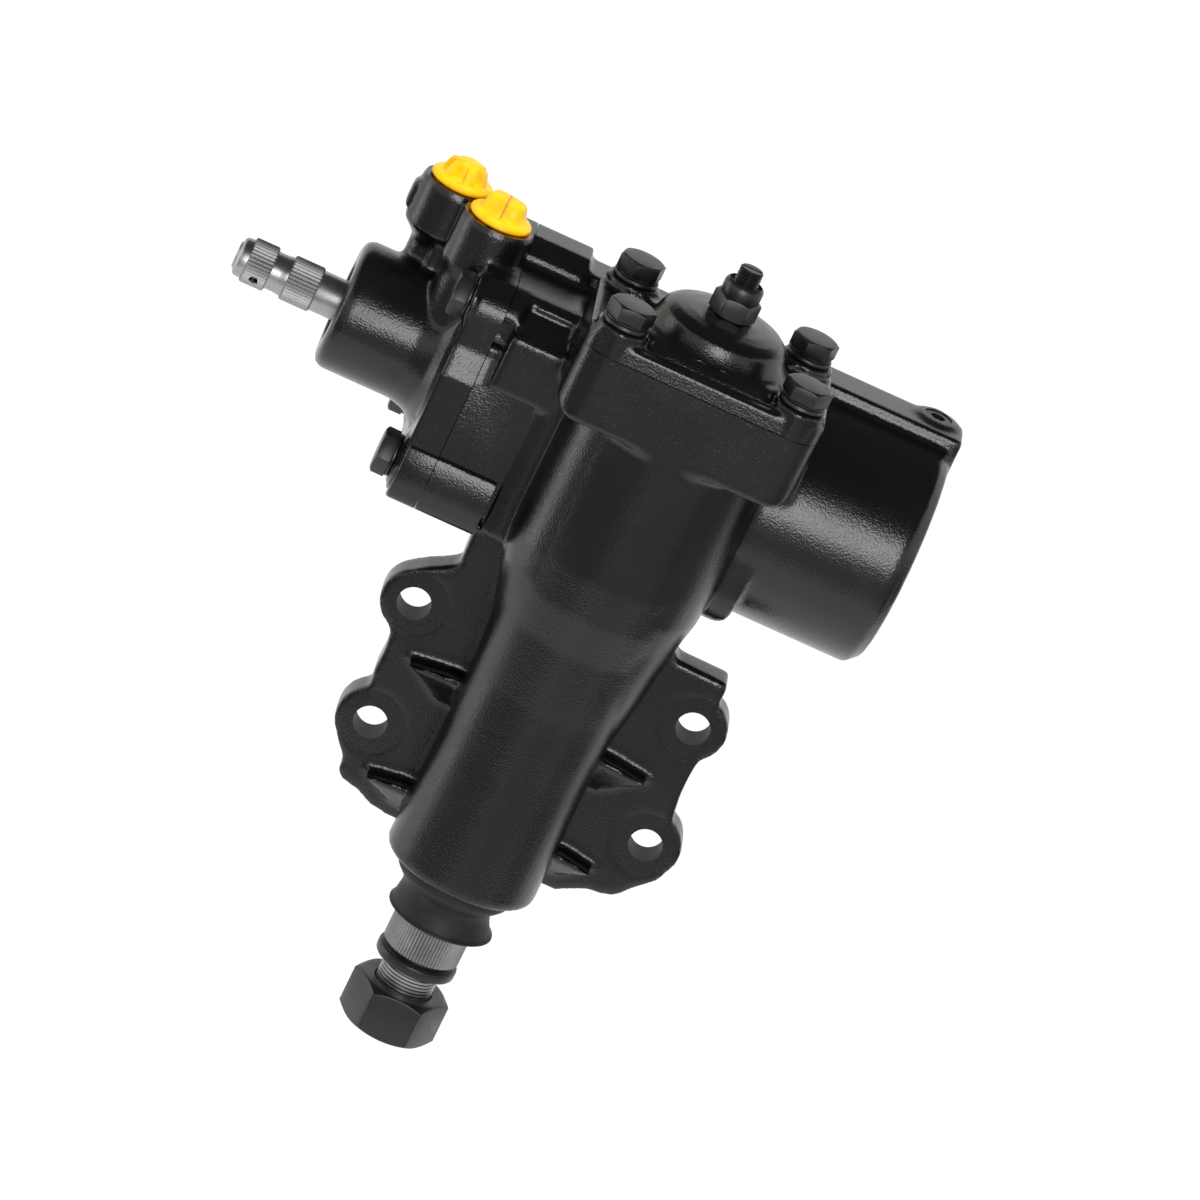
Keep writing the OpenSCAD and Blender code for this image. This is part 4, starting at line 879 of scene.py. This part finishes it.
def stacked(mesh, rows, outline, place, steps=96):
    """Bridges rounded outlines: a row is a height, two half widths and how strong the shape is."""
    made = bmesh.new()
    below = None
    for height, wide, deep, strength in rows:
        ring = bmesh.ops.create_circle(made, segments=steps, radius=1)["verts"]
        for corner in ring:
            grow = outline(math.atan2(corner.co.y, corner.co.x), strength)
            corner.co = Vector((corner.co.x * grow * wide, corner.co.y * grow * deep, height)) * MM
        loop = list({
            edge for corner in ring for edge in corner.link_edges
            if edge.other_vert(corner) in ring})
        if below:
            bmesh.ops.bridge_loops(made, edges=below + loop)
        below = loop
    bmesh.ops.holes_fill(made, edges=made.edges, sides=0)
    bmesh.ops.recalc_face_normals(made, faces=made.faces)
    joined(mesh, made, place)


def panels(angle, strength):
    """Six raised panels round a grip."""
    swing = (math.cos(6 * (angle + math.radians(75))) + 0.12) / 0.24
    swing = min(1.0, max(0.0, swing))
    return 1 + strength * swing * swing * (3 - 2 * swing)


def squared(angle, strength):
    """A circle drawn out towards a square."""
    power = 2 + strength
    return (abs(math.cos(angle)) ** power + abs(math.sin(angle)) ** power) ** (-1 / power)


for (x, y), tilt, name, plastic, body, node in (
        (ports[0], 0, "pressure_cap", panel_plastic, "pressure_plug", "pressure_port_plug"),
        (ports[1], -20, "return_cap", plain_plastic, "return_plug", "return_port_plug")):
    seat = upward(x, y, port_top) @ tilted(tilt, "Z")
    shell = bmesh.new()
    turned(shell, [
        (0, -1), (6.1, -1), (6.1, -10.6), (6.5, -11), (7.3, -11), (7.7, -10.6), (7.7, 0.3),
        (12.4, 0.3), (12.9, 0.8), (13, 1.5), (12.8, 2.3), (12.2, 2.9), (11, 3.3), (9.6, 3.7),
        (0, 3.7)], seat, 96)
    if name == "pressure_cap":
        stacked(shell, [
            (3.0, 10.2, 10.2, 0), (3.5, 9.2, 9.2, 0.03), (3.9, 8.4, 8.4, 0.12),
            (4.4, 7.7, 7.7, 0.22), (6, 7.1, 7.1, 0.26), (7.6, 6.6, 6.6, 0.27),
            (8.9, 6.1, 6.1, 0.26), (9.2, 5.9, 5.9, 0.22), (9.4, 5.8, 5.8, 0.08),
            (9.6, 5.6, 5.6, 0.01), (10.2, 4.9, 4.9, 0), (10.6, 3.6, 3.6, 0),
            (10.75, 1.6, 1.6, 0)], panels, seat, 144)
    else:
        stacked(shell, [
            (3.0, 10.6, 10.4, 0), (3.7, 9.6, 8.6, 0.3), (4.8, 8.9, 6.9, 1.0),
            (6.4, 8.3, 6.0, 1.6), (8.2, 7.9, 5.5, 1.8), (9.4, 7.5, 5.1, 1.6),
            (10.2, 6.8, 4.5, 1.2), (10.6, 5.6, 3.4, 0.8), (10.75, 2.6, 1.6, 0)], squared, seat)
    cap = new_piece(name, shell, plastic)
    crisp(cap.data, 50)
    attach(cap, body)
    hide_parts(node)
    repaint(panel_plastic, node)


# Studio: white paper under and behind the part, soft lamps in front, at the left and above,
# and grey cloths overhead and round its foot that only the gloss shows.
def lamp(name, place, target, size, radiance, gloss=True):
    """A soft rectangular lamp that glows with so many times the white of the paper."""
    data = bpy.data.lights.new(name, "AREA")
    data.shape = "RECTANGLE"
    data.size, data.size_y = size
    data.energy = radiance * math.pi * size[0] * size[1]
    made = bpy.data.objects.new(name, data)
    bpy.context.scene.collection.objects.link(made)
    made.location = place
    made.rotation_euler = (Vector(target) - Vector(place)).to_track_quat("-Z", "Y").to_euler()
    made.visible_camera = False
    made.visible_glossy = gloss


part_middle = (0.0, 0.03, 0.17)
lamp("front_softbox", (0.1, -1.22, 0.54), part_middle, (0.62, 0.62), radiance=7)
lamp("left_softbox", (-1.2, 0.13, 0.12), part_middle, (0.3, 1.0), radiance=2)
lamp("top_softbox", (0.0, 0.1, 1.3), part_middle, (1.0, 1.0), radiance=3, gloss=False)

world = bpy.data.worlds.new("studio")
bpy.context.scene.world = world
world.use_nodes = True
sky = world.node_tree
sky.nodes.clear()


def seen_white(tree):
    """One for the rays that see the backdrop as white: straight on, in gloss or through glass."""
    path = tree.nodes.new("ShaderNodeLightPath")
    straight, gloss, through = (Flow(tree, path.outputs[name]) for name in (
        "Is Camera Ray", "Is Glossy Ray", "Is Transmission Ray"))
    return straight + gloss + through


seen = seen_white(sky)
dim = seen.node("ShaderNodeBackground", inputs={"Color": (1, 1, 1, 1), "Strength": 0.6})
white = seen.node("ShaderNodeBackground", inputs={"Color": (1, 1, 1, 1), "Strength": 1.0})
both = seen.node("ShaderNodeMixShader", inputs={0: seen, 1: dim, 2: white})
sky.links.new(both.socket, sky.nodes.new("ShaderNodeOutputWorld").inputs["Surface"])

paper = bmesh.new()
paper_r, paper_z = 9, -0.35
bmesh.ops.create_circle(paper, cap_ends=True, segments=96, radius=paper_r)
bmesh.ops.translate(paper, verts=paper.verts, vec=(0, 0, paper_z))
floor_paper, place, shader = new_finish("floor_paper", Roughness=0.9, Specular_IOR_Level=0.1)
feed(shader, Base_Color=place.noise(250, 3.0).blend(shade(240), shade(244)))
glow = place.node("ShaderNodeEmission", inputs={"Color": (1, 1, 1, 1), "Strength": 1.12})
both = place.node("ShaderNodeMixShader", inputs={
    0: seen_white(place.tree) * 0.85, 1: Flow(place.tree, shader.outputs[0]), 2: glow})
output = next(n for n in place.tree.nodes if n.type == "OUTPUT_MATERIAL")
place.tree.links.new(both.socket, output.inputs["Surface"])
floor = new_piece("floor", paper, floor_paper)


def cloth(name, level, half, place):
    """A grey panel that only the gloss shows."""
    grey, spot, shader = new_finish(
        name, Roughness=1.0, Specular_IOR_Level=0.0, Emission_Color=(1, 1, 1, 1),
        Emission_Strength=level)
    feed(shader, Base_Color=spot.noise(4, 2.0).blend(shade(8), shade(14)))
    mesh = bmesh.new()
    bmesh.ops.create_grid(
        mesh, x_segments=1, y_segments=1, size=1, matrix=place @ Matrix.Diagonal((*half, 1, 1)))
    panel = new_piece(name, mesh, grey)
    panel.visible_camera = panel.visible_diffuse = panel.visible_shadow = False


cloth("overhead_cloth", 0.07, (1.3, 1.05), Matrix.Translation((0, -0.05, 0.95)))
for name, level, spot, half in (
        ("left_cloth", 0.3, (-0.552, -0.549), 0.59), ("front_cloth", 0.5, (0.323, -0.702), 0.48),
        ("right_cloth", 0.3, (0.779, -0.152), 0.32)):
    facing = Vector((*spot, 0)).to_track_quat("Z", "Y").to_matrix().to_4x4()
    cloth(name, level, (half, 0.26), Matrix.Translation((*spot, -0.08)) @ facing)


# Camera: a long lens in front of the part, looking down on it from a little to the left. It is
# rolled, so that the part leans in the frame as it does in the photograph.
view_azimuth = math.radians(-5.1906)
view_elevation = math.radians(20.5635)
view_roll = math.radians(26.0741)
aim = Vector((3.145, 0, 157.956)) * MM
distance = 3.2
across = Vector((math.cos(view_azimuth), math.sin(view_azimuth), 0))
back = Vector((
    math.sin(view_azimuth) * math.cos(view_elevation),
    -math.cos(view_azimuth) * math.cos(view_elevation),
    math.sin(view_elevation)))
upright = across.cross(-back)
rolled_across = math.cos(view_roll) * across + math.sin(view_roll) * upright
rolled_up = -math.sin(view_roll) * across + math.cos(view_roll) * upright
lens = bpy.data.cameras.new("camera")
lens.sensor_width = 36
lens.lens = 243.54
lens.clip_end = 30
camera = bpy.data.objects.new("camera", lens)
bpy.context.scene.collection.objects.link(camera)
turn = Matrix((rolled_across, rolled_up, back)).transposed().to_4x4()
camera.matrix_world = Matrix.Translation(aim + back * distance) @ turn
bpy.context.scene.camera = camera
bpy.context.scene.view_settings.view_transform = "Standard"
